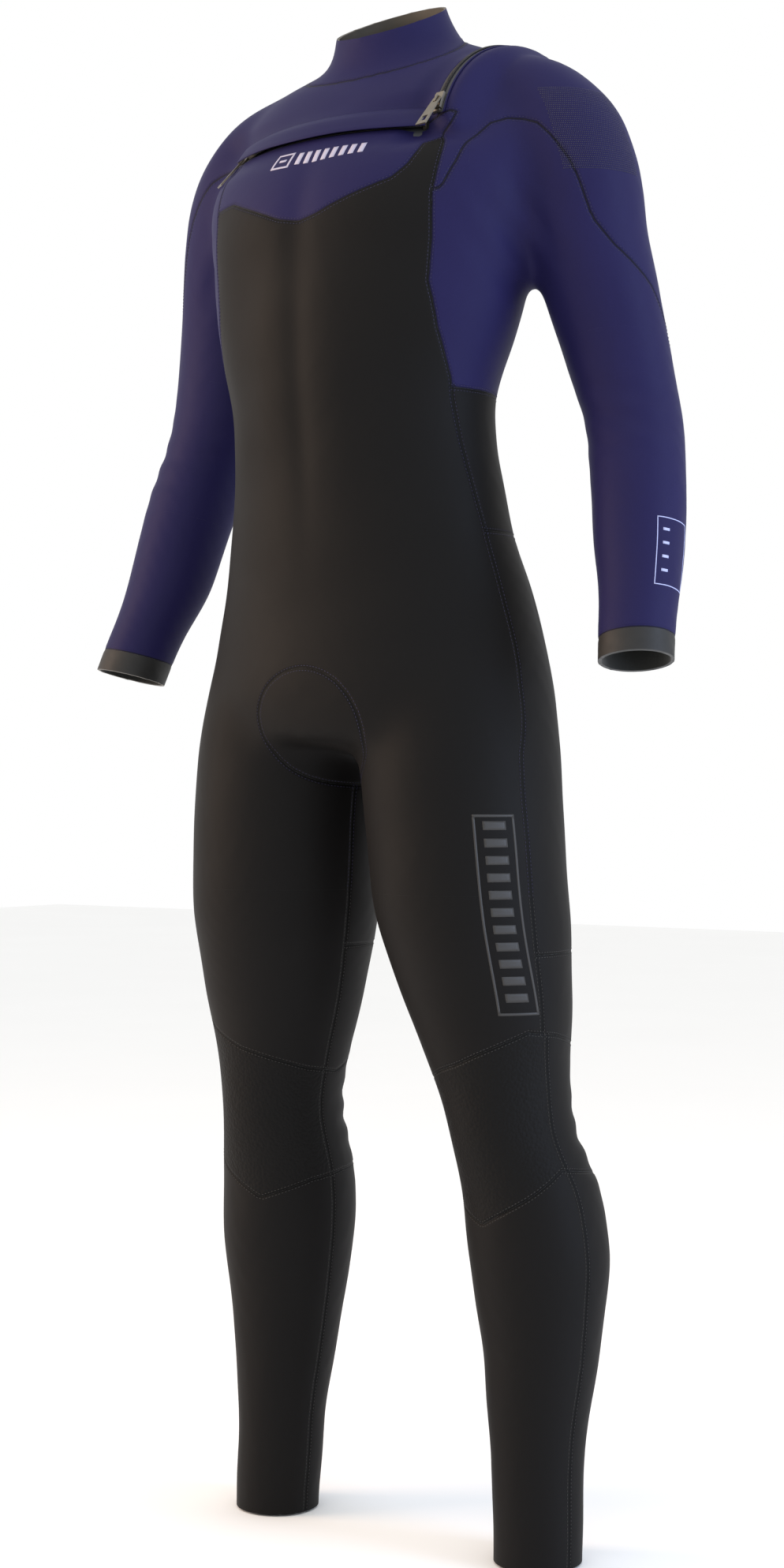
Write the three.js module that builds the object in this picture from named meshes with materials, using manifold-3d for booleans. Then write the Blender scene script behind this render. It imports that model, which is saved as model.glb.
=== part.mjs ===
// Full wetsuit: one-piece neoprene suit with a chest zip and a shoulder zip. Millimetres, +Z up, front is -Y.
import * as THREE from "three";
import Module from "manifold-3d";

const wasm = await Module();
wasm.setup();

// ---- Driving dimensions -------------------------------------------------------------------------
const SUIT_H = 1445; // ankle end to the middle of the collar rim
const GIRTH = 1.0; // scales every girth of body, arms and legs
const TORSO_T = 4.0; // neoprene thickness of the body panels
const LEG_T = 3.0;
const ARM_T = 3.0;
const NECK_T = 2.4;
const KERF = 0.3; // gap along each glued seam
const COLLAR_H = 33; // collar height along its slope
const COLLAR_TILT = 27; // degrees, back higher than front
const CUFF_L = 20;
const ZIP_Z = 1322; // chest zip line
const ZIP_R = 216; // radius of the chest zip seen from above
const ZIP_X = -6;
const ZIP_FRONT_Y = -106; // the chest's front at the zip line
const ZIP_SLOPE = 36; // degrees the chest leans back at the zip
const ZIP_RIGHT = 37 * 216; // the zip's length to the wearer's right of its middle, as degrees times radius
const ZIP_LEFT = 27.5 * 216; // the same to the wearer's left
const SH_R = 106.5; // radius of the shoulder zip over the shoulder
const SH_Y = 22;
const SH_Z = 1300;
const SH_FROM = -72; // degrees forward of the top
const SH_TO = 18; // degrees behind the top
const TAPE_W = 13;
const COIL_W = 6;
const PULL_L = 34;
const SH_X = 126.6; // middle of the shoulder zip's arc
const SH_YAW = 9.3; // degrees the arc's plane turns away from the neck towards the back
const SH_TAPE_W = 11;

const RAD = Math.PI / 180;
const K = SUIT_H / 1445;
const ZR = ZIP_R * GIRTH;
const ZIP_FROM = -ZIP_RIGHT / ZIP_R; // degrees, wearer's right end
const ZIP_TO = ZIP_LEFT / ZIP_R; // degrees, wearer's left end
const ZX = ZIP_X * GIRTH;
const ZY = (ZIP_FRONT_Y + ZIP_R) * GIRTH; // the zip's centre lies behind the chest's front
const HANGER_Z = 1400; // the suit hangs from its shoulders: the frame's origin is here

// ---- Small tools --------------------------------------------------------------------------------
function solid(pos, idx) {
  const make = (tri) =>
    new wasm.Manifold(
      new wasm.Mesh({ numProp: 3, vertProperties: new Float32Array(pos), triVerts: new Uint32Array(tri) }),
    );
  const made = make(idx);
  if (made.volume() > 0) return made;
  const turned = [];
  for (let i = 0; i < idx.length; i += 3) turned.push(idx[i], idx[i + 2], idx[i + 1]);
  return make(turned);
}

// Closed body through rings of points; loop joins the last ring to the first. cross turns the
// diagonals of the ring's second half, so that both faces of a thin twisted ribbon stay parallel.
function loft(rings, loop = false, cross = false) {
  const n = rings[0].length;
  const pos = rings.flat(2);
  const idx = [];
  const last = loop ? rings.length : rings.length - 1;
  for (let i = 0; i < last; i++)
    for (let j = 0; j < n; j++) {
      const a = i * n + j;
      const b = i * n + ((j + 1) % n);
      const c = ((i + 1) % rings.length) * n + j;
      const d = ((i + 1) % rings.length) * n + ((j + 1) % n);
      if (cross && j >= n / 2) idx.push(a, b, c, b, d, c);
      else idx.push(a, b, d, a, d, c);
    }
  if (!loop) {
    const caps = [
      [0, -1],
      [rings.length - 1, 1],
    ];
    for (const [r, side] of caps) {
      const mid = [0, 1, 2].map((k) => rings[r].reduce((s, p) => s + p[k], 0) / n);
      const m = pos.length / 3;
      pos.push(...mid);
      for (let j = 0; j < n; j++) {
        const a = r * n + j;
        const b = r * n + ((j + 1) % n);
        idx.push(...(side > 0 ? [a, b, m] : [b, a, m]));
      }
    }
  }
  return solid(pos, idx);
}

const V = (p) => new THREE.Vector3(...p);

// Thin closed ribbon between two lines of points: the cut a seam makes.
function ribbon(inner, outer, loop = false, t = KERF) {
  const n = inner.length;
  const rings = inner.map((a, i) => {
    const prev = loop ? (i + n - 1) % n : Math.max(i - 1, 0);
    const next = loop ? (i + 1) % n : Math.min(i + 1, n - 1);
    const along = V(outer[next]).sub(V(outer[prev]));
    const across = V(outer[i]).sub(V(a));
    const nrm = along.cross(across).normalize().multiplyScalar(t / 2);
    const b = outer[i];
    return [
      [a[0] - nrm.x, a[1] - nrm.y, a[2] - nrm.z],
      [b[0] - nrm.x, b[1] - nrm.y, b[2] - nrm.z],
      [b[0] + nrm.x, b[1] + nrm.y, b[2] + nrm.z],
      [a[0] + nrm.x, a[1] + nrm.y, a[2] + nrm.z],
    ];
  });
  return loft(rings, loop, true);
}

const steps = (a, b, n) => Array.from({ length: n + 1 }, (_, i) => a + ((b - a) * i) / n);
const join = (list) => list.reduce((a, b) => a.add(b));
const mix = (a, b, w) => a + (b - a) * w;
const ease = (x, lo, hi) => {
  const s = Math.min(Math.max((x - lo) / (hi - lo), 0), 1);
  return s * s * (3 - 2 * s);
};

// Smooth value at z from rows [z, ...values] that run downwards.
function at(rows, z) {
  let i = 0;
  while (i < rows.length - 2 && z < rows[i + 1][0]) i++;
  const a = rows[i];
  const b = rows[i + 1];
  const p = rows[Math.max(i - 1, 0)];
  const q = rows[Math.min(i + 2, rows.length - 1)];
  const h = b[0] - a[0];
  const s = Math.min(Math.max((z - a[0]) / h, 0), 1);
  return a.slice(1).map((va, k) => {
    const vb = b[k + 1];
    const ma = p === a ? (vb - va) / h : (vb - p[k + 1]) / (b[0] - p[0]);
    const mb = q === b ? (vb - va) / h : (q[k + 1] - va) / (q[0] - a[0]);
    const s2 = s * s;
    const s3 = s2 * s;
    return (
      va * (2 * s3 - 3 * s2 + 1) + vb * (3 * s2 - 2 * s3) + ma * h * (s3 - 2 * s2 + s) + mb * h * (s3 - s2)
    );
  });
}

// ---- Body shape: z, half width, half depth, centre Y --------------------------------------------
const girth = (rows) => rows.map(([z, ...sizes]) => [z, ...sizes.map((v) => v * GIRTH)]);
const TORSO = girth([
  [1424, 78, 39, 39],
  [1412, 106, 50, 32],
  [1400, 134, 61, 23],
  [1385, 152, 72, 14],
  [1365, 166, 82, 7],
  [1340, 174, 93, 1],
  [1310, 182, 108, -8],
  [1280, 183, 118, -18],
  [1240, 176, 122, -26],
  [1200, 167, 118, -32],
  [1150, 157, 112, -40],
  [1080, 137, 101, -47],
  [1036, 136, 98, -45],
  [1000, 140, 99, -40],
  [957, 147, 102, -35],
  [900, 161, 109, -27],
  [850, 173, 117, -22],
  [800, 182, 120, -23],
  [758, 173, 106, -24],
]);
// z, centre X, centre Y, half width, half depth
const LEG = girth([
  [850, 84, -22, 84, 90],
  [800, 90, -23, 92, 98],
  [700, 102, -28, 91, 96],
  [600, 110, -24, 89, 92],
  [525, 119, -14, 79, 80],
  [450, 129, -4, 63, 66],
  [400, 136, 3, 57, 63],
  [340, 144, 23, 64, 67],
  [290, 148, 29, 65.5, 68],
  [240, 150, 30, 61, 63],
  [180, 151, 29, 53, 55],
  [100, 151.5, 22, 44, 45],
  [30, 154, 19, 42, 42],
  [0, 154.5, 18, 41.5, 42],
]);
const ARM = girth([
  [1405, 110, 18, 14, 14],
  [1396, 124, 18, 36, 34],
  [1376, 146, 17, 50, 47],
  [1340, 170, 18, 61, 57],
  [1300, 185, 18, 65, 61],
  [1262, 197, 18, 61, 59],
  [1225, 205, 20, 57, 57],
  [1170, 218, 26, 54, 53.5],
  [1110, 233, 30, 49, 48],
  [1050, 252, 27, 44.5, 44],
  [990, 266, 11, 43.5, 43],
  [930, 276, -3, 41, 41],
  [880, 286.5, -23, 35.5, 35.5],
  [828, 296, -44, 34, 34],
]);
const RING_T = 28;
const RING_L = 16;
const RING_A = 14;

// Radius of the zip's cone at a height.
const zipR = (z) => ZR + (ZIP_Z - z) * Math.tan(ZIP_SLOPE * RAD);

function torsoPoint(phi, z, off, k = 1) {
  const [hw, hd, cy] = at(TORSO, z);
  const x = (hw - off) * Math.sin(phi);
  const y = cy - (hd - off) * Math.cos(phi);
  const dx = x - ZX;
  const dy = ZY - y;
  const th = Math.abs(Math.atan2(dx, dy)) / RAD;
  const w = (1 - ease(Math.abs(z - ZIP_Z), 17, 44)) * (1 - ease(th, 40, 54)) * ease(Math.cos(phi), 0, 0.3);
  const rho = Math.hypot(dx, dy);
  const r = mix(rho, zipR(z) - off / Math.cos(ZIP_SLOPE * RAD), w) / rho;
  const px = ZX + dx * r;
  const py = ZY - dy * r;
  return [px * k, cy + (py - cy) * k, z * K];
}

function limbPoint(rows, side, phi, z, off, k = 1, tilt = 0) {
  const [cx, cy, rx, ry] = at(rows, z);
  const dx = (rx - off) * k * Math.sin(phi);
  const dy = -(ry - off) * k * Math.cos(phi);
  const lean = tilt * (1 - ease(z, 1130, 1230));
  return [side * (cx + dx), cy + dy, (z + lean * (dx - 1.33 * dy)) * K];
}

const turn = (n) => steps(0, 2 * Math.PI, n).slice(0, n);
const limbRing = (rows, side, z, off, n, tilt) =>
  turn(n).map((p) => limbPoint(rows, side, p, z, off, 1, tilt));

const ARM_TILT = 0.15; // the cuff's plane rises outwards, and rises more towards the front
const TILT = Math.tan(COLLAR_TILT * RAD);
const NECK = [
  [-34, 84, 0.35],
  [-16, 75, 0.75],
  [0, 68, 1],
  [COLLAR_H * 0.5, 61, 1],
  [COLLAR_H, 57, 1],
].map(([h, r, f]) => [h, r * GIRTH, f]);
const NECK_Z = 1416 * K;
const NECK_Y = 6 * GIRTH;

// A ring of the neck: h along the collar's slope, r its radius, f the share of the full tilt.
function neckRing(h, r, f, n = 26) {
  const a = COLLAR_TILT * f * RAD;
  return turn(n).map((p) => {
    const y = -r * Math.cos(p);
    const lift = y * Math.sin(a) + h * Math.cos(a);
    return [r * Math.sin(p) * 0.98, NECK_Y + y * Math.cos(a) - h * Math.sin(a) * 0.5, NECK_Z + lift];
  });
}

// The whole body at a given depth under the outer skin; long runs the ends past the openings.
function body(off, long) {
  const t = off > 0;
  const torsoOff = t ? TORSO_T * off : off;
  const zs = [
    ...[758, 800, 850, 900, 957, 1000, 1040, 1080, 1150, 1200, 1240],
    ...[1272, 1290, 1305, 1322, 1339, 1352, 1366, 1385, 1400, 1412, 1424],
  ];
  const torso = loft(
    zs.map((z) => {
      const zz = t ? Math.min(Math.max(z, 758 + 4), 1424 - 5) : z;
      return turn(RING_T).map((p) => torsoPoint(p, zz, torsoOff));
    }),
  );
  const parts = [torso];
  for (const side of [1, -1]) {
    const legZ = [0, 30, 100, 180, 240, 290, 340, 400, 450, 525, 600, 700, 800, 850];
    if (long) legZ.unshift(-12);
    const legOff = t ? LEG_T * off : off;
    const legRing = (z) => limbRing(LEG, side, z, legOff, RING_L, 0);
    parts.push(loft(legZ.map((z) => legRing(z).map((q) => (z < 0 ? [q[0], q[1], z] : q)))));
    const armZ = [828, 880, 930, 990, 1050, 1110, 1170, 1225, 1262, 1300, 1340, 1376, 1396, 1405];
    const armOff = t ? ARM_T * off : off;
    const rings = armZ.map((z) => limbRing(ARM, side, t && z > 1380 ? z - 4 : z, armOff, RING_A, ARM_TILT));
    if (long) rings.unshift(rings[0].map((q) => [q[0] + side * 3, q[1] - 3, q[2] - 12]));
    parts.push(loft(rings));
  }
  const neckOff = t ? NECK_T * off : off;
  const neck = NECK.map(([h, r, f]) => neckRing(h, r - neckOff, f));
  if (long) neck.push(neckRing(COLLAR_H + 12, NECK[4][1] - neckOff, 1));
  parts.push(loft(neck));
  return join(parts);
}

const outer = body(0, false);
const inner = body(1, true);
let shell = outer.subtract(inner);

// ---- Seams --------------------------------------------------------------------------------------
const torsoLine = (pts, k) => pts.map(([deg, z]) => torsoPoint(deg * RAD, z, 0, k));
const torsoSeam = (pts) => ribbon(torsoLine(pts, 0.82), torsoLine(pts, 1.14));
const limbLine = (rows, side, pts, k, tilt) =>
  pts.map(([deg, z]) => limbPoint(rows, side, deg * RAD, z, 0, k, tilt));
const limbSeam = (rows, side, pts, tilt = 0, loop = false, reach = 1.18) =>
  ribbon(limbLine(rows, side, pts, 0.7, tilt), limbLine(rows, side, pts, reach, tilt), loop);
const legSeam = (side, pts, loop) => limbSeam(LEG, side, pts, 0, loop);
const armSeam = (side, pts, loop, reach) => limbSeam(ARM, side, pts, ARM_TILT, loop, reach);
const ringAt = (z, n = 12) => turn(n).map((p) => [p / RAD, z]);

// Straight interpolation through [x, value] pairs.
function line(pairs, x) {
  let i = 0;
  while (i < pairs.length - 2 && x > pairs[i + 1][0]) i++;
  const [a, b] = [pairs[i], pairs[i + 1]];
  return a[1] + ((b[1] - a[1]) * (x - a[0])) / (b[0] - a[0]);
}

// Armhole: a leaning plane through the armpit and the shoulder.
const ARMHOLE_LOW = [165 * GIRTH, 1160];
const ARMHOLE_HIGH = [128 * GIRTH, 1425];
const armhole = (side) =>
  ribbon(
    [ARMHOLE_LOW, ARMHOLE_HIGH].map(([x, z]) => [side * x, -160, z * K]),
    [ARMHOLE_LOW, ARMHOLE_HIGH].map(([x, z]) => [side * x, 160, z * K]),
  );
const neckCut = ribbon(neckRing(-0.01, 40, 1, 24), neckRing(0.01, 92, 1, 24), true);
shell = shell.subtract(join([armhole(1), armhole(-1), neckCut]));

// A body is picked by a small marker that sits inside it.
function pick(bodies, point) {
  const probe = new THREE.OctahedronGeometry(1.1).translate(...point);
  const g = probe.getAttribute("position").array;
  const mark = fromTriangles(g);
  const hit = bodies.filter((b) => b.intersect(mark).volume() > 0.05);
  if (hit.length !== 1) throw new Error("probe at " + point.map((v) => v.toFixed(0)) + " hits " + hit.length);
  return hit[0];
}
function fromTriangles(array) {
  const seen = new Map();
  const pos = [];
  const idx = [];
  for (let i = 0; i < array.length; i += 3) {
    const p = [array[i], array[i + 1], array[i + 2]];
    const key = p.map((v) => v.toFixed(3)).join();
    if (!seen.has(key)) {
      seen.set(key, pos.length / 3);
      pos.push(...p);
    }
    idx.push(seen.get(key));
  }
  return solid(pos, idx);
}
const onTorso = (deg, z, depth = TORSO_T / 2) => torsoPoint(deg * RAD, z, depth);
const onLeg = (side, deg, z) => limbPoint(LEG, side, deg * RAD, z, LEG_T / 2);
const onArm = (side, deg, z) => limbPoint(ARM, side, deg * RAD, z, ARM_T / 2, 1, ARM_TILT);
const onNeck = (deg, h) => {
  const r = line(NECK.map(([a, b]) => [a, b]), h) - NECK_T / 2;
  const a = COLLAR_TILT * RAD;
  const y = -r * Math.cos(deg * RAD);
  return [
    r * Math.sin(deg * RAD) * 0.98,
    NECK_Y + y * Math.cos(a) - h * Math.sin(a) * 0.5,
    NECK_Z + y * Math.sin(a) + h * Math.cos(a),
  ];
};

let bodies = shell.decompose();
const collar = pick(bodies, onNeck(0, 24));
const trunk = pick(bodies, onTorso(0, 1150));
const sleeve = pick(bodies, onArm(1, 90, 1100));

// Chest: zip slot, V seam, side seams, yoke back seam.
const V_SEAM = [
  [-72, 1262],
  [-50, 1268],
  [-34, 1260],
  [-17, 1247],
  [0, 1234],
  [17, 1247],
  [34, 1260],
  [50, 1268],
  [72, 1262],
];
const SIDE_FRONT = [
  [1270, 48.3],
  [1262, 48],
  [1215, 50],
  [1150, 58],
  [1085, 68],
  [1020, 74],
  [957, 77.5],
  [880, 78],
  [800, 79],
];
const SIDE_FRONT_LEG = [
  [800, 73.5],
  [740, 72],
  [650, 72],
  [560, 72],
  [502, 72],
];
const SIDE_BACK = 122;
const SIDE_BACK_TOP = [
  [1076, 122],
  [1160, 126],
  [1230, 131],
  [1340, 132],
];
const SIDE_LOW_Z = 1078;
const HIP_Z = 950;
const YOKE_BACK_Z = 1338;
const BACK_THIGH_Z = 566;
const KNEE_TOP = [
  [-180, 470],
  [-95, 440],
  [-60, 446],
  [0, 466],
  [60, 496],
  [85, 492],
  [130, 478],
  [180, 470],
];
const KNEE_LOW = [
  [-180, 345],
  [-95, 340],
  [-60, 334],
  [-14, 316],
  [30, 342],
  [70, 368],
  [110, 362],
  [180, 345],
];
const PAD_OUT = 76;
const PAD_IN = -80;

// Seam that runs over torso and leg without a step at the hip.
function longSide(side) {
  const inA = [];
  const outA = [];
  for (const [z, deg] of SIDE_FRONT) {
    inA.push(torsoPoint(side * deg * RAD, z, 0, 0.86));
    outA.push(torsoPoint(side * deg * RAD, z, 0, 1.1));
  }
  for (const [z, deg] of SIDE_FRONT_LEG.slice(1)) {
    inA.push(limbPoint(LEG, side, deg * RAD, z, 0, 0.74));
    outA.push(limbPoint(LEG, side, deg * RAD, z, 0, 1.18));
  }
  return ribbon(inA, outA);
}

// Sector of the chest zip's cone. s runs up the chest from the zip line, h stands out of it.
const ZA = ZIP_SLOPE * RAD;
function coneSweep(profile, from, to, n = 20) {
  return loft(
    steps(from, to, n).map((deg) =>
      profile.map(([s, h]) => {
        const r = ZR - s * Math.sin(ZA) + h * Math.cos(ZA);
        const z = ZIP_Z + s * Math.cos(ZA) + h * Math.sin(ZA);
        return [ZX + r * Math.sin(deg * RAD), ZY - r * Math.cos(deg * RAD), z * K];
      }),
    ),
  );
}
const box2 = (s0, s1, h0, h1) => [
  [s0, h0],
  [s1, h0],
  [s1, h1],
  [s0, h1],
];
const SLOT_H = COIL_W + 0.8;
const zipSlot = coneSweep(box2(-SLOT_H, SLOT_H, -12, 9), ZIP_FROM - 2.6, ZIP_TO + 1.6);
const tapeBed = coneSweep(box2(-TAPE_W - KERF, TAPE_W + KERF, -12, -TORSO_T), ZIP_FROM - 2.3, ZIP_TO + 1.3);
const tapeShape = box2(-TAPE_W - 0.1, TAPE_W + 0.1, -TORSO_T - 1.4, -TORSO_T - 0.2);
const tapeRoom = coneSweep(tapeShape, ZIP_FROM - 2.05, 0);
const flapBed = coneSweep(box2(SLOT_H, SLOT_H + 14.4, 0, 6), ZIP_FROM + 4.6, ZIP_TO + 1.4);
const zipLeft = torsoSeam([
  [33.5, 1322],
  [36, 1322],
  [41, 1322],
  [46, 1322],
  [51, 1322],
  [58, 1322],
  [66, 1322],
]);
const zipRight = torsoSeam([
  [-46.6, 1322],
  [-51, 1322],
  [-58, 1322],
  [-66, 1322],
]);
const gussetLoop = turn(18).map((p) => [58 * GIRTH * Math.cos(p), 772 + 54 * Math.sin(p)]);
const gussetCut = ribbon(
  gussetLoop.map(([x, z]) => [x, -190, z * K]),
  gussetLoop.map(([x, z]) => [x, 170, z * K]),
  true,
);
const kneeRing = (rows) => steps(-180, 180, 20).slice(0, 20).map((d) => [d, line(rows, d)]);
const trunkCuts = [
  zipSlot,
  tapeBed,
  flapBed,
  zipLeft,
  zipRight,
  torsoSeam(steps(-74, 74, 14).map((d) => [d, line(V_SEAM, d)])),
  torsoSeam(steps(118, 242, 8).map((d) => [d, YOKE_BACK_Z])),
  longSide(1),
  longSide(-1),
  torsoSeam(steps(77, 283, 16).map((d) => [d, HIP_Z])),
  gussetCut,
];
for (const s of [1, -1]) {
  trunkCuts.push(torsoSeam(steps(1340, SIDE_LOW_Z - 2, 8).map((z) => [s * line(SIDE_BACK_TOP, z), z])));
  trunkCuts.push(torsoSeam(steps(67, SIDE_BACK + 1, 8).map((d) => [s * d, SIDE_LOW_Z])));
  trunkCuts.push(legSeam(s, steps(71, 281, 12).map((d) => [d, BACK_THIGH_Z])));
  trunkCuts.push(legSeam(s, [[-80, 721], [-80, 640], [-80, 560], [-80, 500], [-80, 438]]));
  trunkCuts.push(legSeam(s, [[72, 503], [74, 494], [PAD_OUT, 484]]));
  trunkCuts.push(legSeam(s, kneeRing(KNEE_TOP), true));
  trunkCuts.push(legSeam(s, kneeRing(KNEE_LOW), true));
  trunkCuts.push(legSeam(s, steps(495, 0 - 6, 12).map((z) => [PAD_OUT, z])));
  trunkCuts.push(legSeam(s, steps(452, 0 - 6, 12).map((z) => [PAD_IN, z])));
}
const trunkParts = trunk.subtract(join(trunkCuts)).decompose();

// ---- Named bodies -------------------------------------------------------------------------------
const out = new THREE.Group();
function add(name, made, color, more = {}) {
  const m = made.getMesh();
  const g = new THREE.BufferGeometry();
  g.setAttribute("position", new THREE.BufferAttribute(new Float32Array(m.vertProperties), 3));
  g.setIndex(new THREE.BufferAttribute(new Uint32Array(m.triVerts), 1));
  const flat = g.toNonIndexed();
  flat.computeVertexNormals();
  flat.translate(0, 0, -HANGER_Z * K);
  const mesh = new THREE.Mesh(flat, new THREE.MeshStandardMaterial({ color, roughness: 0.8, ...more }));
  mesh.name = name;
  out.add(mesh);
}
// The same body on the other side of the suit.
function mirrored(made) {
  const m = made.getMesh();
  const pos = Array.from(m.vertProperties).map((v, i) => (i % 3 === 0 ? -v : v));
  return solid(pos, Array.from(m.triVerts));
}
function addPair(name, made, color) {
  add(name + "_left", made, color);
  add(name + "_right", mirrored(made), color);
}
const NAVY = 0x2f2d50;
const BLACK = 0x232323;
add("collar", collar, NAVY);
add("chest_band", pick(trunkParts, onTorso(20, 1285)), NAVY);
add("front_panel", pick(trunkParts, onTorso(0, 1100)), BLACK);
add("back_panel", pick(trunkParts, onTorso(180, 1150)), BLACK);
add("seat_panel", pick(trunkParts, onTorso(150, 870)), BLACK);
add("crotch_gusset", pick(trunkParts, onTorso(0, 800)), BLACK);
add("side_panel_left", pick(trunkParts, onTorso(90, 1120)), NAVY);
add("side_panel_right", pick(trunkParts, onTorso(-90, 1120)), NAVY);
addPair("thigh_back", pick(trunkParts, onLeg(1, 180, 520)), BLACK);
addPair("knee_pad", pick(trunkParts, onLeg(1, 10, 400)), BLACK);
addPair("knee_back", pick(trunkParts, onLeg(1, 180, 405)), BLACK);
addPair("shin", pick(trunkParts, onLeg(1, 10, 200)), BLACK);
addPair("calf", pick(trunkParts, onLeg(1, 180, 200)), BLACK);

// Sleeves: raglan seam from the chest round to the outside of the elbow, elbow, forearm, cuff.
const RAGLAN = [
  [128, 1056],
  [122, 1100],
  [116, 1130],
  [88, 1172],
  [46, 1215],
  [30, 1262],
  [14, 1298],
  [-6, 1314],
  [-30, 1320],
  [-62, 1322],
];
const SLEEVE_BACK = [
  [1116, 200],
  [1200, 215],
  [1396, 200],
];
const sleeveCuts = [
  armSeam(1, RAGLAN, false, 1.75),
  armSeam(1, steps(1116, 1396, 10).map((z) => [line(SLEEVE_BACK, z), z])),
  armSeam(1, ringAt(1118), true),
  armSeam(1, ringAt(988), true),
  armSeam(1, ringAt(828 + CUFF_L), true),
  mirrored(tapeRoom),
];
const sleeveParts = sleeve.subtract(join(sleeveCuts)).decompose();
const sleeveTop = pick(sleeveParts, onArm(1, 150, 1180));
addPair("sleeve_under", pick(sleeveParts, onArm(1, -40, 1160)), NAVY);
addPair("elbow", pick(sleeveParts, onArm(1, 10, 1050)), NAVY);
addPair("forearm", pick(sleeveParts, onArm(1, 10, 930)), NAVY);
addPair("cuff", pick(sleeveParts, onArm(1, 10, 838)), BLACK);

// ---- Chest zip ----------------------------------------------------------------------------------
const GAP = 0.3;
const TAPE_T = 1.0;
const COIL_T = 2.2;
const tapeTop = -TORSO_T - GAP;
const GREY = 0x3a3d42;
const METAL = { metalness: 0.8, roughness: 0.4 };
const CT0 = ZIP_FROM - 2;
const CT1 = ZIP_TO + 1;
add("chest_tape_upper", coneSweep(box2(GAP / 2, TAPE_W, tapeTop - TAPE_T, tapeTop), CT0, CT1), GREY);
add("chest_tape_lower", coneSweep(box2(-TAPE_W, -GAP / 2, tapeTop - TAPE_T, tapeTop), CT0, CT1), GREY);
const coilLow = tapeTop + GAP;
const coilShape = box2(-COIL_W / 2, COIL_W / 2, coilLow, coilLow + COIL_T);
add("chest_coil", coneSweep(coilShape, ZIP_FROM - 1, ZIP_TO), 0x1c1d20);

// Slider: saddle over the coil with a bridge on top. Length in degrees of the zip's arc.
const SL = 2.1;
const SLIDER_AT = ZIP_FROM + 1.6;
const roof = coilLow + COIL_T + GAP;
const wall = COIL_W / 2 + GAP;
function saddle(sweep, mid, half, lengthwise = 0) {
  const top = roof + 1.3;
  const seat = (s0, s1, h0, h1) => sweep(box2(s0, s1, h0, h1), mid - half, mid + half, 3);
  const hull = seat(-wall - 1.5, wall + 1.5, roof, top)
    .add(seat(-wall - 1.5, -wall, coilLow + 0.2, roof + 0.1))
    .add(seat(wall, wall + 1.5, coilLow + 0.2, roof + 0.1));
  const thin = (half * 1.2) / 8;
  const l = lengthwise;
  const arch = l
    ? sweep(box2(-1.1, 1.1, top - 0.4, top + 3.4), mid - l, mid + l, 1)
    : sweep(box2(-3.4, 3.4, top - 0.4, top + 3.4), mid - thin, mid + thin, 1);
  const eye = l
    ? sweep(box2(-3, 3, top, top + 2.2), mid - l * 0.65, mid + l * 0.65, 1)
    : sweep(box2(-2.2, 2.2, top, top + 2.2), mid - thin * 2, mid + thin * 2, 1);
  return hull.add(arch.subtract(eye));
}
add("chest_slider", saddle(coneSweep, SLIDER_AT, SL), 0x6f6a5e, METAL);
const stopShape = box2(-4, 4, coilLow, coilLow + 2.6);
add("chest_stop_right", coneSweep(stopShape, ZIP_FROM - 1.9, ZIP_FROM - 1.1, 2), 0x6f6a5e, METAL);
add("chest_stop_left", coneSweep(stopShape, ZIP_TO + 0.1, ZIP_TO + 0.9, 2), 0x6f6a5e, METAL);

// Pull: a plate whose top bar runs through the slider's bridge, with a hole near its end.
function pull(sweepPoint, mid, h0, thick) {
  const plate = (sA, sB, halfA, halfB, hA, hB) =>
    loft([[sA, halfA], [sB, halfB]].map(([s, half]) =>
      [[-half, hA], [half, hA], [half, hB], [-half, hB]].map(([a, h]) => sweepPoint(s, h, mid, a))));
  const main = plate(0.8, -PULL_L, 4.5, 6.5, h0, h0 + thick);
  const slot = plate(-0.8, -4.8, 2.0, 2.0, h0 - 3, h0 + thick + 3);
  const hole = plate(-PULL_L + 11, -PULL_L + 4, 3, 3, h0 - 3, h0 + thick + 3);
  return main.subtract(slot).subtract(hole);
}
// Point on the zip's cone: s up the chest, h out of it, a along the zip in mm.
function conePoint(s, h, deg, a) {
  const r = ZR - s * Math.sin(ZA) + h * Math.cos(ZA);
  const z = ZIP_Z + s * Math.cos(ZA) + h * Math.sin(ZA);
  const [sn, cs] = [Math.sin(deg * RAD), Math.cos(deg * RAD)];
  return [ZX + r * sn + a * cs, ZY - r * cs + a * sn, z * K];
}
const bridge = roof + 1.3;
const REST = 5 * RAD; // the pull leans off the chest by this much
const restPull = (s, h, deg, a) => {
  const up = s * Math.cos(REST) + h * Math.sin(REST);
  const off = bridge + 1.1 + h * Math.cos(REST) - s * Math.sin(REST);
  return conePoint(up, off, deg, a);
};
add("chest_puller", pull(restPull, SLIDER_AT, -0.75, 1.5), 0x8b8270, METAL);

// Flap of smooth-skin neoprene that lies over the zip, rooted on the yoke.
const flapRoot = [
  [SLOT_H + 2, GAP],
  [SLOT_H + 14, GAP],
  [SLOT_H + 14, 1.2],
  [SLOT_H + 7, 4.0],
  [SLOT_H + 2, 5.6],
];
const flapSweep = (profile) => coneSweep(profile, ZIP_FROM + 5, ZIP_TO + 1, 16);
add("chest_flap", flapSweep(flapRoot).add(flapSweep(box2(-SLOT_H - 2, SLOT_H + 2.5, 4.2, 5.6))), NAVY);

// ---- Shoulder zip, in an upright plane over the left shoulder ---------------------------------------
const YAW = SH_YAW * RAD;
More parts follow.
